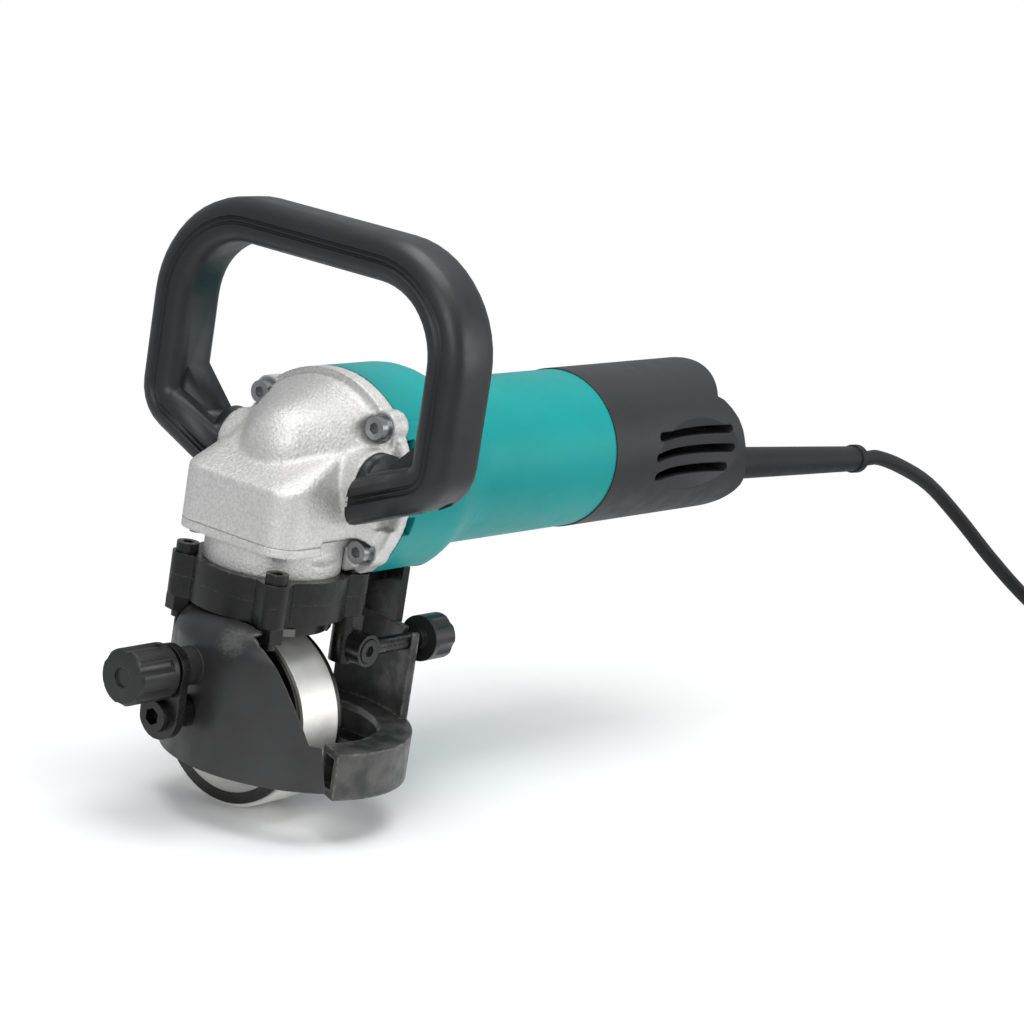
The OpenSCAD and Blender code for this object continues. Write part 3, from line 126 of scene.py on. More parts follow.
@dataclass(frozen=True)
class Finish:
    """One real finish: its colours, gloss and fine relief, with sizes in millimetres.

    The eye reads a finish by four things that are all set here: the slow drift of its colour, the grain
    of its relief, how its gloss changes from place to place, and how its edges are eased and rubbed.
    """

    name: str
    base: str
    drift: str
    roughness: float
    grain: Grain
    grain_mm: float
    relief_mm: float
    metallic: float = 0.0
    ior: float = 1.5
    drift_mm: float = 30.0
    gloss_swing: float = 0.06
    gloss_mm: float = 8.0
    eased_mm: float = 0.5
    rubbed: str = ""
    rubbed_share: float = 0.0
    rubbed_mm: float = 1.2
    streak: tuple[float, float, float] = (1.0, 1.0, 1.0)
    centre_mm: tuple[float, float, float] = (0.0, 0.0, 0.0)
    ring_axis: str = "X"
    sheen: float = 0.0
    # Colour, middle and reach of a painted highlight, laid on as pale specks
    painted_highlight: str = ""
    painted_highlight_at_mm: tuple[float, float, float] = (0.0, 0.0, 0.0)
    painted_highlight_mm: float = 20.0

    def relief(self, tree: bpy.types.NodeTree, place: bpy.types.NodeSocket) -> bpy.types.NodeSocket:
        """Build the fine relief's height.

        Args:
            tree: Node tree of the material.
            place: Object coordinates.

        Returns:
            The socket that gives the height.
        """
        scale = 1 / (self.grain_mm * MM)
        if self.grain in (Grain.TURNED, Grain.WOUND):
            shift = tuple(-c * MM for c in self.centre_mm)
            centred = add_node(tree, "ShaderNodeMapping", {"Location": shift}, {"Vector": place})
            rings = self.grain is Grain.TURNED
            # One ring of a wave texture is a twentieth of its unit, times pi
            wave = {"wave_type": "RINGS" if rings else "BANDS", "Scale": scale * math.pi / 10 / 2,
                    "Distortion": 0.6 if rings else 0.1, "Detail": 1.0}
            wave["rings_direction" if rings else "bands_direction"] = self.ring_axis
            ribs = add_node(tree, "ShaderNodeTexWave", wave, {"Vector": centred.outputs["Vector"]})
            return ribs.outputs["Fac"]
        stretch = tuple(1 / s for s in self.streak)
        along = add_node(tree, "ShaderNodeMapping", {"Scale": stretch}, {"Vector": place})
        fine = add_node(tree, "ShaderNodeTexNoise", {"Scale": scale, "Detail": 3.0, "Roughness": 0.62},
                        {"Vector": along.outputs["Vector"]})
        if self.grain is not Grain.CAST:
            return fine.outputs["Fac"]
        # Sand leaves packed pits between rounded grains
        pits = add_node(tree, "ShaderNodeTexVoronoi", {"Scale": scale * PIT_SHARE, "feature": "SMOOTH_F1"},
                        {"Vector": along.outputs["Vector"]})
        return add_node(tree, "ShaderNodeMath", {"operation": "ADD"},
                        {0: fine.outputs["Fac"], 1: pits.outputs["Distance"]}).outputs["Value"]

    def edge_mask(self, tree: bpy.types.NodeTree, place: bpy.types.NodeSocket) -> bpy.types.NodeSocket:
        """Find the rubbed edges: where an eased surface turns away from the true one, broken up by noise.

        Args:
            tree: Node tree of the material.
            place: Object coordinates.

        Returns:
            The socket that is one where the finish is rubbed through.
        """
        wide = add_node(tree, "ShaderNodeBevel", {"samples": 4, "Radius": self.rubbed_mm * MM})
        true = add_node(tree, "ShaderNodeNewGeometry")
        same = add_node(tree, "ShaderNodeVectorMath", {"operation": "DOT_PRODUCT"},
                        {0: wide.outputs["Normal"], 1: true.outputs["Normal"]})
        turned = add_node(tree, "ShaderNodeMapRange", {"From Min": EDGE_TURN[0], "From Max": EDGE_TURN[1]},
                          {"Value": same.outputs["Value"]})
        broken = add_node(tree, "ShaderNodeTexNoise", {"Scale": 1 / (CHIP_MM * MM), "Detail": 5.0},
                          {"Vector": place})
        kept = add_node(tree, "ShaderNodeMapRange", {"From Min": CHIP_RANGE[0], "From Max": CHIP_RANGE[1]},
                        {"Value": broken.outputs["Fac"]})
        return add_node(tree, "ShaderNodeMath", {"operation": "MULTIPLY"},
                        {0: turned.outputs["Result"], 1: kept.outputs["Result"]}).outputs["Value"]

    def painted_highlight_mask(self, tree: bpy.types.NodeTree, place: bpy.types.NodeSocket) -> bpy.types.NodeSocket:
        """Find the patch of painted highlight, laid on as fine pale specks.

        Args:
            tree: Node tree of the material.
            place: Object coordinates.

        Returns:
            The socket that is one on a speck.
        """
        middle = tuple(c * MM for c in self.painted_highlight_at_mm)
        away = add_node(tree, "ShaderNodeVectorMath", {"operation": "DISTANCE", 1: middle}, {0: place})
        near = add_node(tree, "ShaderNodeMapRange", {"From Min": self.painted_highlight_mm * MM, "From Max": 0.0,
                                                     "interpolation_type": "SMOOTHSTEP"},
                        {"Value": away.outputs["Value"]})
        specks = add_node(tree, "ShaderNodeTexNoise",
                          {"Scale": 1 / (HIGHLIGHT_SPECK_MM * MM), "Detail": 6.0, "Roughness": 0.7}, {"Vector": place})
        grown = add_node(tree, "ShaderNodeMath", {"operation": "MULTIPLY"},
                         {0: near.outputs["Result"], 1: specks.outputs["Fac"]})
        shown = add_node(tree, "ShaderNodeMapRange", {"From Min": HIGHLIGHT_SPECK_RANGE[0], "From Max": HIGHLIGHT_SPECK_RANGE[1]},
                         {"Value": grown.outputs["Value"]})
        return shown.outputs["Result"]

    def make(self) -> bpy.types.Material:
        """Build the material.

        Returns:
            The material, on Object coordinates.
        """
        material = bpy.data.materials.new(self.name)
        material.use_nodes = True
        tree = material.node_tree
        tree.nodes.clear()
        place = add_node(tree, "ShaderNodeTexCoord").outputs["Object"]
        cloud = add_node(tree, "ShaderNodeTexNoise", {"Scale": 1 / (self.drift_mm * MM), "Detail": 5.0},
                         {"Vector": place})
        spread = add_node(tree, "ShaderNodeMapRange",
                          {"From Min": DRIFT_RANGE[0], "From Max": DRIFT_RANGE[1]},
                          {"Value": cloud.outputs["Fac"]})
        colour = add_node(tree, "ShaderNodeMixRGB",
                          {"Color1": linear(self.base), "Color2": linear(self.drift)},
                          {"Fac": spread.outputs["Result"]}).outputs["Color"]
        if self.rubbed:
            mask = add_node(tree, "ShaderNodeMath", {"operation": "MULTIPLY", 1: self.rubbed_share},
                            {0: self.edge_mask(tree, place)})
            colour = add_node(tree, "ShaderNodeMixRGB", {"Color2": linear(self.rubbed)},
                              {"Fac": mask.outputs["Value"], "Color1": colour}).outputs["Color"]
        # Painted highlight: pale specks over one patch
        if self.painted_highlight:
            colour = add_node(tree, "ShaderNodeMixRGB", {"Color2": linear(self.painted_highlight)},
                              {"Fac": self.painted_highlight_mask(tree, place), "Color1": colour}).outputs["Color"]
        gloss = add_node(tree, "ShaderNodeTexNoise", {"Scale": 1 / (self.gloss_mm * MM), "Detail": 4.0},
                         {"Vector": place})
        rough = add_node(tree, "ShaderNodeMapRange",
                         {"From Min": GLOSS_RANGE[0], "From Max": GLOSS_RANGE[1],
                          "To Min": self.roughness - self.gloss_swing,
                          "To Max": self.roughness + self.gloss_swing}, {"Value": gloss.outputs["Fac"]})
        eased = add_node(tree, "ShaderNodeBevel", {"samples": 4, "Radius": self.eased_mm * MM})
        bump = add_node(tree, "ShaderNodeBump", {"Strength": 1.0, "Distance": self.relief_mm * MM},
                        {"Height": self.relief(tree, place), "Normal": eased.outputs["Normal"]})
        shader = add_node(tree, "ShaderNodeBsdfPrincipled",
                          {"Metallic": self.metallic, "IOR": self.ior, "Sheen Weight": self.sheen},
                          {"Base Color": colour, "Roughness": rough.outputs["Result"],
                           "Normal": bump.outputs["Normal"]})
        add_node(tree, "ShaderNodeOutputMaterial", None, {"Surface": shader.outputs["BSDF"]})
        return material


# Sand-cast aluminium, bead blasted: bright, a little grainy, soft cast edges
CAST_ALUMINIUM = Finish("cast_aluminium_blasted", "#e3e2e0", "#d0cfcd", 0.5, Grain.CAST, 0.8, 0.17,
                        metallic=0.65, drift_mm=1.0, gloss_swing=0.06, gloss_mm=1.6, eased_mm=1.4)
# Glass-filled nylon in teal, satin from a spark-eroded mould
TEAL_NYLON = Finish("teal_nylon_moulded", "#069a98", "#05918f", 0.4, Grain.MOULDED, 0.55, 0.008,
                    ior=1.36, drift_mm=60, eased_mm=1.0)
# The same nylon in dark grey
DARK_NYLON = Finish("dark_nylon_moulded", "#272729", "#232325", 0.47, Grain.MOULDED, 0.5, 0.014,
                    drift_mm=50, eased_mm=1.0)
# Polypropylene grip, black, satin with a fine leather of the mould
BLACK_GRIP = Finish("black_grip_moulded", "#232427", "#1e1f22", 0.4, Grain.MOULDED, 0.6, 0.012,
                    drift_mm=40, eased_mm=1.2)
# Blackened steel: oily black with a faint brown drift, bright where it is rubbed
BLACK_OXIDE = Finish("black_oxide_steel", "#0f0f10", "#161514", 0.31, Grain.MOULDED, 0.35, 0.006,
                     drift_mm=12, gloss_swing=0.1, gloss_mm=4, eased_mm=0.5, rubbed="#5d5c5a",
                     rubbed_share=0.5, rubbed_mm=0.6)
# Satin black paint on pressed sheet, with a painted highlight of pale specks high on its near front
PAINTED_SHEET = Finish("satin_paint_on_sheet", "#232324", "#2c2c2d", 0.4, Grain.MOULDED, 1.1, 0.012,
                       drift_mm=22, gloss_swing=0.1, gloss_mm=9, eased_mm=0.8, rubbed="#6a6966",
                       rubbed_share=0.45, rubbed_mm=0.9, painted_highlight="#4c4c4c", painted_highlight_at_mm=(-37.5, -18, 75),
                       painted_highlight_mm=15)
# The same paint where the shoe slides on the work: worn to grey steel
WORN_SHOE = Finish("worn_paint_on_shoe", "#2a2a2b", "#4b4a48", 0.42, Grain.MOULDED, 0.9, 0.02,
                   drift_mm=9, gloss_swing=0.14, gloss_mm=5, eased_mm=0.8, rubbed="#8d8b86",
                   rubbed_share=0.8, rubbed_mm=1.6)
# Ground steel, fine streaks
GROUND_STEEL = Finish("ground_steel", "#9a9a99", "#8b8b8a", 0.3, Grain.DRAWN, 0.25, 0.004, metallic=1.0,
                      streak=(1, 18, 18), eased_mm=0.3)
# Steel tread of the guide roller, with running marks round it; its near-white, partly non-metallic colour is
# a painted reflection of a bright softbox
PAINTED_REFLECTION_TREAD = Finish("steel_tread_painted_reflection", "#f2f1ed", "#e6e4df", 0.38, Grain.DRAWN, 0.22, 0.006,
                        metallic=0.7, streak=(1, 60, 60), drift_mm=14, gloss_swing=0.06, gloss_mm=6,
                        eased_mm=0.5)
# Turned end face of the roller
TURNED_FACE = Finish("turned_steel_face", "#b9b8b4", "#a5a4a0", 0.34, Grain.TURNED, 0.5, 0.01, metallic=1.0,
                     centre_mm=(0, 0, 36.5), ring_axis="X", eased_mm=0.4)
# Zinc-plated screws, bluish and bright
ZINC = Finish("zinc_plated_steel", "#a9aaac", "#98999b", 0.28, Grain.MOULDED, 0.3, 0.004, metallic=1.0,
              drift_mm=12, gloss_swing=0.03, eased_mm=0.15)
# Phenolic knobs, black with a slight gloss
KNOB_BLACK = Finish("phenolic_knob_black", "#1d1d1e", "#252525", 0.33, Grain.MOULDED, 0.4, 0.008,
                    drift_mm=10, eased_mm=0.6)
# Rubber cord and boot, dull with a faint bloom
RUBBER = Finish("rubber_black", "#161618", "#1d1d1f", 0.5, Grain.MOULDED, 0.5, 0.008, ior=1.4, drift_mm=35,
                eased_mm=0.5, sheen=0.02)
# Woven hook-and-loop strap
STRAP = Finish("strap_woven_black", "#1b1b1d", "#2b2b2e", 0.8, Grain.MOULDED, 0.5, 0.1, drift_mm=3, sheen=0.3)
COPPER = Finish("enamelled_copper_wire", "#8f4a22", "#7a3c1c", 0.32, Grain.WOUND, 0.7, 0.12, metallic=1.0,
                ring_axis="X", eased_mm=0.3)
COMMUTATOR_COPPER = Finish("commutator_copper", "#b5703f", "#9c5f36", 0.26, Grain.DRAWN, 0.3, 0.004,
                           metallic=1.0, streak=(1, 30, 30), eased_mm=0.2)
BRASS = Finish("brass_turned", "#b79a5a", "#a58a4f", 0.3, Grain.DRAWN, 0.3, 0.004, metallic=1.0,
               streak=(12, 1, 12), eased_mm=0.3)
CARBON = Finish("carbon_pressed", "#2a2a2a", "#222222", 0.6, Grain.MOULDED, 0.4, 0.02, eased_mm=0.2)
FAN_NYLON = Finish("fan_nylon_grey", "#4a4a4b", "#434344", 0.5, Grain.MOULDED, 0.5, 0.01, eased_mm=0.4)
LAMINATION = Finish("stacked_laminations", "#6f6e6c", "#605f5d", 0.42, Grain.WOUND, 0.5, 0.05, metallic=1.0,
                    ring_axis="X", eased_mm=0.2)
CARBIDE = Finish("sintered_carbide", "#7d7c78", "#6d6c69", 0.34, Grain.MOULDED, 0.2, 0.004, metallic=1.0,
                 eased_mm=0.15)

NODE_FINISH: dict[Finish, tuple[str, ...]] = {
    CAST_ALUMINIUM: ("gear_case", "bearing_neck"),
    TEAL_NYLON: ("motor_housing",),
    DARK_NYLON: ("rear_housing",),
    BLACK_GRIP: ("bow_handle",),
    BLACK_OXIDE: ("clamp_ring_upper", "clamp_ring_lower", "ring_bolts", "ring_nuts", "swing_post",
                  "link_plate", "eccentric_axle", "swing_bolt", "pivot_screw", "shoe_screws", "roller_core",
                  "cutter_screw", "bevel_cutter"),
    PAINTED_SHEET: ("hood",),
    WORN_SHOE: ("guide_shoe",),
    GROUND_STEEL: ("spindle_bearings", "armature_bearings", "lock_stud", "roller_bearings", "spindle",
                   "bevel_gear", "armature_shaft", "drive_pinion"),
    # The roller tread's near-white colour is a painted reflection
    PAINTED_REFLECTION_TREAD: ("roller_tread",),
    TURNED_FACE: ("roller_face",),
    ZINC: ("neck_screws", "flange_screws", "handle_screws", "axle_retainer"),
    KNOB_BLACK: ("lock_knob", "clamp_knob", "slide_switch"),
    RUBBER: ("strain_relief", "plug_body"),
    COPPER: ("rotor_windings", "field_coils"),
    COMMUTATOR_COPPER: ("commutator",),
    BRASS: ("brush_holders", "plug_pins"),
    CARBON: ("carbon_brushes",),
    FAN_NYLON: ("cooling_fan", "switch_block"),
    LAMINATION: ("rotor_core", "stator"),
    CARBIDE: ("cutter_inserts",),
}

MATERIALS: dict[Finish, bpy.types.Material] = {}


@dataclass
class PhotoCamera:
    """The photograph's viewpoint, settled on the model's own points."""

    azimuth_deg: float = -54.33
    elevation_deg: float = 12.939
    roll_deg: float = 9.082
    distance_mm: float = 1235.5
    aside_mm: float = 88.28
    above_mm: float = -12.442
    lens_mm: float = 112.5
    sensor_mm: float = 36.0

    def build(self) -> bpy.types.Object:
        """Set up the scene's camera.

        Returns:
            The camera object.
        """
        a, e, r = (math.radians(v) for v in (self.azimuth_deg, self.elevation_deg, self.roll_deg))
        back = Vector((math.sin(a) * math.cos(e), -math.cos(a) * math.cos(e), math.sin(e)))
        right = Vector((math.cos(a), math.sin(a), 0))
        up = back.cross(right)
        level, plumb = right * math.cos(r) + up * math.sin(r), up * math.cos(r) - right * math.sin(r)
        stand = (level * self.aside_mm + plumb * self.above_mm + back * self.distance_mm) * MM
        data = bpy.data.cameras.new("photo_camera")
        data.sensor_width = self.sensor_mm
        data.lens = self.lens_mm
        data.clip_end = 50
        camera = bpy.data.objects.new("photo_camera", data)
        turn = Matrix((level, plumb, back)).transposed().to_4x4()
        camera.matrix_world = Matrix.Translation(stand + Vector((0, 0, AXIS_H * MM))) @ turn
        bpy.context.scene.collection.objects.link(camera)
        bpy.context.scene.camera = camera
        return camera


@dataclass
class Softbox:
    """One soft studio lamp, with its place and aim in millimetres."""

    name: str
    place_mm: tuple[float, float, float]
    aim_mm: tuple[float, float, float]
    size_mm: tuple[float, float]
    watts: float

    def build(self) -> bpy.types.Object:
        """Hang the lamp.

        Returns:
            The lamp object.
        """
        data = bpy.data.lights.new(self.name, "AREA")
        data.shape = "RECTANGLE"
        data.size, data.size_y = (s * MM for s in self.size_mm)
        data.energy = self.watts
        lamp = bpy.data.objects.new(self.name, data)
        place, aim = Vector(self.place_mm) * MM, Vector(self.aim_mm) * MM
        turn = (aim - place).to_track_quat("-Z", "Y").to_matrix().to_4x4()
        lamp.matrix_world = Matrix.Translation(place) @ turn
        bpy.context.scene.collection.objects.link(lamp)
        return lamp


@dataclass
class Studio:
    """White floor, white surround and soft lamps."""

    floor_mm: float = 4000.0
    middle_mm: tuple[float, float, float] = (40.0, -10.0, 0.0)
    near_mm: float = 90.0
    far_mm: float = 420.0
    surround: str = "#c9cbcd"
    lamps: list[Softbox] = field(default_factory=lambda: [
        Softbox("top_softbox", (120, -60, 1500), (120, 0, 100), (1500, 1100), 20),
        Softbox("front_softbox", (-1500, -700, 900), (60, 0, 120), (900, 1100), 11),
        Softbox("right_softbox", (900, -1500, 500), (150, 0, 120), (1200, 800), 9),
    ])

    def floor(self) -> bpy.types.Object:
        """Lay the floor.

        Returns:
            The floor object, marked as stage.
        """
        bm = bmesh.new()
        bmesh.ops.create_grid(bm, x_segments=1, y_segments=1, size=self.floor_mm * MM / 2)
        mesh = bpy.data.meshes.new("studio_floor")
        bm.to_mesh(mesh)
        bm.free()
        floor = bpy.data.objects.new("studio_floor", mesh)
        bpy.context.scene.collection.objects.link(floor)
        mesh.materials.append(self.paper())
        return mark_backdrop(floor)

    def paper(self) -> bpy.types.Material:
        """Make the floor's paper, which fades to the white surround away from the object.

        Returns:
            The material.
        """
        material = bpy.data.materials.new("white_paper_floor")
        material.use_nodes = True
        tree = material.node_tree
        tree.nodes.clear()
        place = add_node(tree, "ShaderNodeTexCoord").outputs["Object"]
        middle = tuple(c * MM for c in self.middle_mm)
        away = add_node(tree, "ShaderNodeVectorMath", {"operation": "DISTANCE", 1: middle}, {0: place})
        fade = add_node(tree, "ShaderNodeMapRange",
                        {"From Min": self.near_mm * MM, "From Max": self.far_mm * MM,
                         "interpolation_type": "SMOOTHSTEP"}, {"Value": away.outputs["Value"]})
        sheet = add_node(tree, "ShaderNodeBsdfPrincipled",
                         {"Base Color": (0.94, 0.94, 0.94, 1), "Roughness": 0.75, "Specular IOR Level": 0.1})
        clear = add_node(tree, "ShaderNodeBsdfTransparent")
        mix = add_node(tree, "ShaderNodeMixShader", None,
                       {"Fac": fade.outputs["Result"], 1: sheet.outputs["BSDF"], 2: clear.outputs["BSDF"]})
        add_node(tree, "ShaderNodeOutputMaterial", None, {"Surface": mix.outputs["Shader"]})
        return material

    def world(self) -> None:
        """Light the surround: white to the camera and grey to the object, so that gloss keeps its shape."""
        world = bpy.data.worlds.new("studio_world")
        bpy.context.scene.world = world
        world.use_nodes = True
        tree = world.node_tree
        tree.nodes.clear()
        path = add_node(tree, "ShaderNodeLightPath")
        lit = add_node(tree, "ShaderNodeBackground", {"Color": linear(self.surround), "Strength": 0.75})
        seen = add_node(tree, "ShaderNodeBackground", {"Color": (1, 1, 1, 1), "Strength": 1.0})
        mix = add_node(tree, "ShaderNodeMixShader", None, {"Fac": path.outputs["Is Camera Ray"],
                                                           1: lit.outputs["Background"],
                                                           2: seen.outputs["Background"]})
        add_node(tree, "ShaderNodeOutputWorld", None, {"Surface": mix.outputs["Shader"]})
        bpy.context.scene.view_settings.view_transform = "Standard"

    def build(self) -> None:
        """Put up the whole studio."""
        self.floor()
        self.world()
        for lamp in self.lamps:
            lamp.build()


@dataclass
class MainsCord:
    """The flexible cord: from its boot it droops to the floor and lies in a tied coil by its plug."""

    diameter_mm: float = 7.5
    boot_mm: tuple[float, float, float] = (306.7, 0.0, 112.9)
    boot_length_mm: float = 128.2
    boot_tilt_deg: float = 93.3
    coil_mid_mm: tuple[float, float] = (665.0, -75.0)
    coil_inner_mm: float = 27.0
    coil_pitch_mm: float = 9.4
    coil_turns: int = 3
    coil_rise_mm: float = 8.8
    steps: int = 24
    boot_leads: tuple[float, ...] = (0, 1.2, 2.4)
    free_knots_mm: tuple[tuple[float, float, float], ...] = (
        (480, 0, 98), (512, -0.5, 86), (545, -3, 66.5), (576, -8, 44.5), (603, -13, 26), (625, -17, 12.5))
    coil_leads: tuple[float, ...] = (1.6, 0.8, 0)
    fine: int = 4
    tie_mm: float = 0.8
    tie_width_mm: float = 9.0
    tie_inner_room_mm: float = 5.0
    tie_outer_room_mm: float = 3.0
    tie_corner_mm: float = 4.5
    tie_over_mm: float = 0.5

    def __post_init__(self) -> None:
        """Work out the values that follow from the others."""
        tilt = math.radians(self.boot_tilt_deg)
        self.out = Vector((math.sin(tilt), 0, math.cos(tilt)))
        self.tip = Vector(self.boot_mm) + self.out * self.boot_length_mm
        self.lead = self.diameter_mm * 1.2
        self.low = self.diameter_mm / 2 + self.tie_mm + 0.4
        self.outer = self.coil_inner_mm + self.coil_pitch_mm * self.coil_turns
        self.into = Vector((self.coil_mid_mm[0] - self.lead, self.coil_mid_mm[1] + self.outer, self.low))

    def droop(self) -> list[Vector]:
        """Find the free stretch between boot and coil.

        Returns:
            Points in millimetres on a smooth curve.
        """
        knots = [self.tip + self.out * self.lead * share for share in self.boot_leads]
        knots += [Vector(p) for p in self.free_knots_mm]
        knots += [self.into - Vector((share * self.lead, 0, 0)) for share in self.coil_leads]
        line = []
        for i in range(len(knots) - 1):
            p, q, r, s = (knots[min(max(i + k, 0), len(knots) - 1)] for k in (-1, 0, 1, 2))
            for k in range(self.fine):
                t = k / self.fine
                line.append(0.5 * (2 * q + (r - p) * t + (2 * p - 5 * q + 4 * r - s) * t ** 2
                                   + (3 * q - p - 3 * r + s) * t ** 3))
        return line

    def coil_point(self, t: float) -> Vector:
        """Find a point of the coil.

        Args:
            t: Turns from the coil's start.

        Returns:
            The point, in millimetres.
        """
        n = self.coil_turns
        if t < n:
            radius, rise = self.outer - self.coil_pitch_mm * t, 0.0
        elif t < n + 0.5:
            u = (t - n) * 2
            radius, rise = self.coil_inner_mm, u * u * (3 - 2 * u)
        else:
            radius, rise = self.coil_inner_mm + self.coil_pitch_mm * (t - n - 0.5), 1.0
        angle = 2 * math.pi * t
        return Vector((self.coil_mid_mm[0] + radius * math.sin(angle),
                       self.coil_mid_mm[1] + radius * math.cos(angle), self.low + self.coil_rise_mm * rise))

    def route(self) -> list[Vector]:
        """Join the free stretch, the coil and the lead into the plug.

        Returns:
            The cord's whole centre line, in millimetres.
        """
        last = int((2 * self.coil_turns + 0.5) * self.steps)
        coil = [self.coil_point(i / self.steps) for i in range(last + 1)]
        end = coil[-1]
        return self.droop() + [self.into] + coil + [end - Vector((s * self.lead, 0, 0)) for s in (1, 2)]

    def tie(self) -> bpy.types.Object:
        """Make the strap that holds the coil's turns together.

        Returns:
            The strap object.
        """
        height = self.low + self.coil_rise_mm + self.diameter_mm / 2 + self.tie_over_mm
        x0 = self.coil_mid_mm[0] + self.coil_inner_mm - self.diameter_mm / 2 - self.tie_inner_room_mm
        x1 = self.coil_mid_mm[0] + self.outer + self.diameter_mm / 2 + self.tie_outer_room_mm
        half, wall = self.tie_width_mm / 2, self.tie_mm
        bm = bmesh.new()
        left, right, top = x0 - wall, x1 + wall, height + wall
        loop = [bm.verts.new(Vector((x, self.coil_mid_mm[1] - half, z)) * MM)
                for x, z in ((left, 0), (right, 0), (right, top), (left, top))]
        for i in range(4):
            bm.edges.new((loop[i], loop[(i + 1) % 4]))
        bmesh.ops.bevel(bm, geom=loop, offset=self.tie_corner_mm * MM, offset_type="OFFSET", segments=6,
                        profile=0.5, affect="VERTICES", material=-1)
        swept = bmesh.ops.extrude_edge_only(bm, edges=bm.edges[:])
        moved = [v for v in swept["geom"] if isinstance(v, bmesh.types.BMVert)]
        bmesh.ops.translate(bm, verts=moved, vec=Vector((0, 2 * half * MM, 0)))
        bmesh.ops.recalc_face_normals(bm, faces=bm.faces)
        bmesh.ops.solidify(bm, geom=bm.faces[:], thickness=wall * MM)
        bmesh.ops.recalc_face_normals(bm, faces=bm.faces)
        return piece_from(bm, "coil_strap", STRAP, "machine", "cord_rubber", "cord_tie")

    def build(self, plug: bpy.types.Object) -> bpy.types.Object:
        """Lay the cord and tie its coil.

        Args:
            plug: The plug at the cord's far end; not used.

        Returns:
            The cord object.
        """
        points = [p * MM for p in self.route()]
        curve = bpy.data.curves.new("mains_cord", "CURVE")
        curve.dimensions = "3D"
        curve.bevel_depth = self.diameter_mm * MM / 2
        curve.bevel_resolution = 5
        curve.use_fill_caps = True
        spline = curve.splines.new("POLY")
        spline.points.add(len(points) - 1)
        for point, place in zip(spline.points, points):
            point.co = (*place, 1)
        spline.use_smooth = True
        curve.materials.append(MATERIALS[RUBBER])
        cord = bpy.data.objects.new("mains_cord", curve)
        bpy.context.scene.collection.objects.link(cord)
        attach(cord, "machine")
        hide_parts("cord", "cord_coil")
        strap = self.tie()
        return cord


def piece_from(bm: bmesh.types.BMesh, name: str, finish: Finish, body: str, slot: str, *nodes: str,
               sharp_deg: float = 35.0) -> bpy.types.Object:
    """Turn a finished bmesh into a piece that rides on a body.

    Args:
        bm: The shape, in metres in the model's frame; it is freed.
        name: Name of the piece.
        finish: Its finish.
        body: The body it rides on.
        slot: The record's material slot that its finish stands for; not used.
        nodes: Model nodes that it stands for.
        sharp_deg: Edges that turn by more than this stay crisp.

    Returns:
        The piece.
    """
    mesh = bpy.data.meshes.new(name)
    bm.to_mesh(mesh)
    bm.free()
    mesh.polygons.foreach_set("use_smooth", [True] * len(mesh.polygons))
    mesh.set_sharp_from_angle(angle=math.radians(sharp_deg))
    mesh.materials.append(MATERIALS[finish])
    piece = bpy.data.objects.new(name, mesh)
    bpy.context.scene.collection.objects.link(piece)
    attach(piece, body)
    if nodes:
        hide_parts(*nodes)
    LOG.info("made %s on %s", name, body)
    return piece


def merged_copy(node: bpy.types.Object) -> bmesh.types.BMesh:
    """Copy a model node's mesh with its loose triangles joined.

    Args:
        node: The node's object.

    Returns:
        The copy, in metres in the model's frame.
    """
    bm = bmesh.new()
    bm.from_mesh(node.data)
    bmesh.ops.remove_doubles(bm, verts=bm.verts[:], dist=0.002 * MM)
    return bm


@dataclass
class CastCase:
    """The gear case with the soft shoulders of a sand casting, while its machined faces stay flat."""

    voxel_mm: float = 0.8
    rounds: int = 7
    front_of_mm: float = 19.6
    above_mm: float = 114.5
    inside_mm: float = 34.9
    rim_mm: float = 39.0

    def is_skin(self, vert: bmesh.types.BMVert) -> bool:
        """Tell the cast skin of nose and dome from cavities, screw seats and the flange's rim.

        Args:
            vert: A point of the case.

        Returns:
            True where the casting is softened.
        """
        x, y, z = (c / MM for c in vert.co)
        out = vert.normal.dot(vert.co - Vector((0, 0, AXIS_H - 8)) * MM) > 0
        return (out and x < self.front_of_mm and z > self.above_mm and abs(y) < self.inside_mm
                and math.hypot(y, z - AXIS_H) < self.rim_mm)

    def build(self, node: bpy.types.Object) -> bpy.types.Object:
        """Soften a copy of the model's case.

        Args:
            node: The case in the model.

        Returns:
            The piece that stands for it.
        """
        bm = merged_copy(node)
        mesh = bpy.data.meshes.new("case_blank")
        bm.to_mesh(mesh)
        bm.free()
        blank = bpy.data.objects.new("case_blank", mesh)
        bpy.context.scene.collection.objects.link(blank)
        skin = blank.modifiers.new("skin", "REMESH")
        skin.mode = "VOXEL"
        skin.voxel_size = self.voxel_mm * MM
        bpy.context.view_layer.update()
        bm = bmesh.new()
        bm.from_object(blank, bpy.context.evaluated_depsgraph_get())
        bpy.data.objects.remove(blank)
        bpy.data.meshes.remove(mesh)
        bm.normal_update()
        soft = [v for v in bm.verts if self.is_skin(v)]
        for _ in range(self.rounds):
            bmesh.ops.smooth_vert(bm, verts=soft, factor=0.5, use_axis_x=True, use_axis_y=True,
                                  use_axis_z=True)
        return piece_from(bm, "cast_gear_case", CAST_ALUMINIUM, "machine", "cast_aluminium", "gear_case",
                          sharp_deg=60)


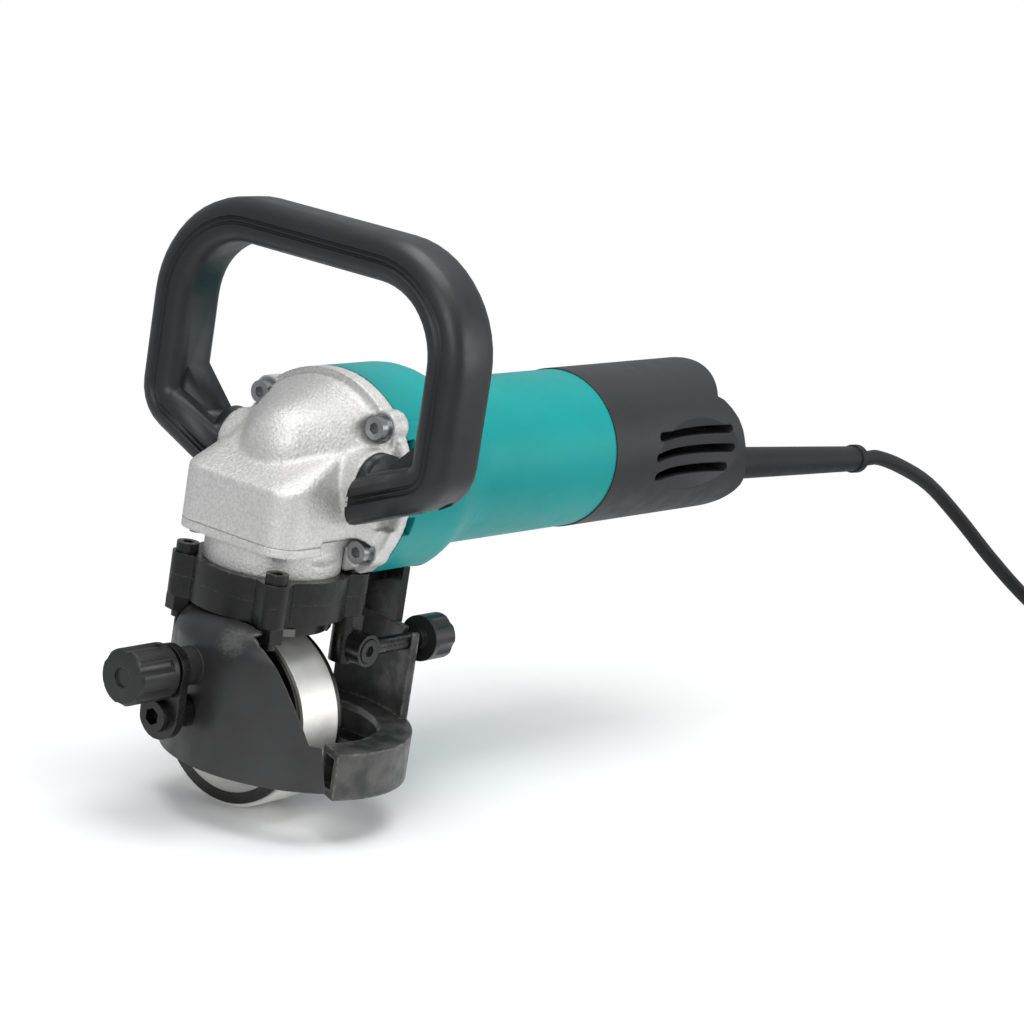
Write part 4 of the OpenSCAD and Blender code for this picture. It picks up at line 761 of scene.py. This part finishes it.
@dataclass
class SwingThread:
    """Rolled thread on the swing bolt's rod, from its shank to the clamp knob."""

    axis_y_mm: float = -32.234
    axis_z_mm: float = 68.5
    start_mm: float = 35.2
    end_mm: float = 55.7
    root_mm: float = 2.98
    crest_mm: float = 3.24
    pitch_mm: float = 1.0
    steps: int = 40

    def build(self) -> bpy.types.Object:
        """Wind the thread: a zigzag that goes round once and steps on by one pitch.

        Returns:
            The thread, riding on the bolt.
        """
        bm = bmesh.new()
        count = int((self.end_mm - self.start_mm) / self.pitch_mm) - 1
        line = [bm.verts.new(Vector((self.start_mm + i * self.pitch_mm / 2, self.axis_y_mm,
                                     self.axis_z_mm + (self.crest_mm if i % 2 else self.root_mm))) * MM)
                for i in range(2 * count + 1)]
        edges = [bm.edges.new(pair) for pair in zip(line, line[1:])]
        bmesh.ops.spin(bm, geom=line + edges, cent=Vector((0, self.axis_y_mm, self.axis_z_mm)) * MM,
                       axis=(1, 0, 0), dvec=Vector((self.pitch_mm * MM / self.steps, 0, 0)),
                       angle=2 * math.pi, steps=self.steps, use_merge=False)
        bmesh.ops.remove_doubles(bm, verts=bm.verts[:], dist=0.01 * MM)
        bmesh.ops.recalc_face_normals(bm, faces=bm.faces[:])
        return piece_from(bm, "swing_bolt_thread", BLACK_OXIDE, "swing_bolt", "black_oxide", sharp_deg=20)


def moulded_copy(node: bpy.types.Object, name: str, finish: Finish, slot: str, stands_for: str,
                 sharp_deg: float) -> bpy.types.Object:
    """Stand a smoothly shaded copy in for a moulded node whose curves were drawn in facets.

    Args:
        node: The node's object.
        name: Name of the copy.
        finish: Its finish.
        slot: The record's material slot.
        stands_for: Name of the node in the model.
        sharp_deg: Edges that turn by more than this stay crisp.

    Returns:
        The copy.
    """
    return piece_from(merged_copy(node), name, finish, "machine", slot, stands_for, sharp_deg=sharp_deg)


def dress_nodes(nodes: dict[str, bpy.types.Object]) -> None:
    """Give every model node its finish.

    Args:
        nodes: Node objects by name.
    """
    for finish, names in NODE_FINISH.items():
        for name in names:
            for slot in nodes[name].material_slots:
                slot.material = MATERIALS[finish]
            LOG.info("dressed %s in %s", name, finish.name)


def main() -> None:
    """Build the looks in order: materials, camera, moulded pieces, cord, casting, finishes, studio."""
    logging.basicConfig(level=logging.INFO, format="%(message)s")
    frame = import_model()
    MATERIALS.update({finish: finish.make() for finish in (*NODE_FINISH, STRAP)})
    PhotoCamera().build()
    nodes = frame["nodes"]
    moulded_copy(nodes["bow_handle"], "bow_grip", BLACK_GRIP, "handle_black", "bow_handle", 38)
    plug = moulded_copy(nodes["plug_body"], "moulded_plug", RUBBER, "cord_rubber", "plug_body", 50)
    MainsCord().build(plug)
    CastCase().build(nodes["gear_case"])
    SwingThread().build()
    dress_nodes(nodes)
    Studio().build()


if __name__ == "__main__":
    main()
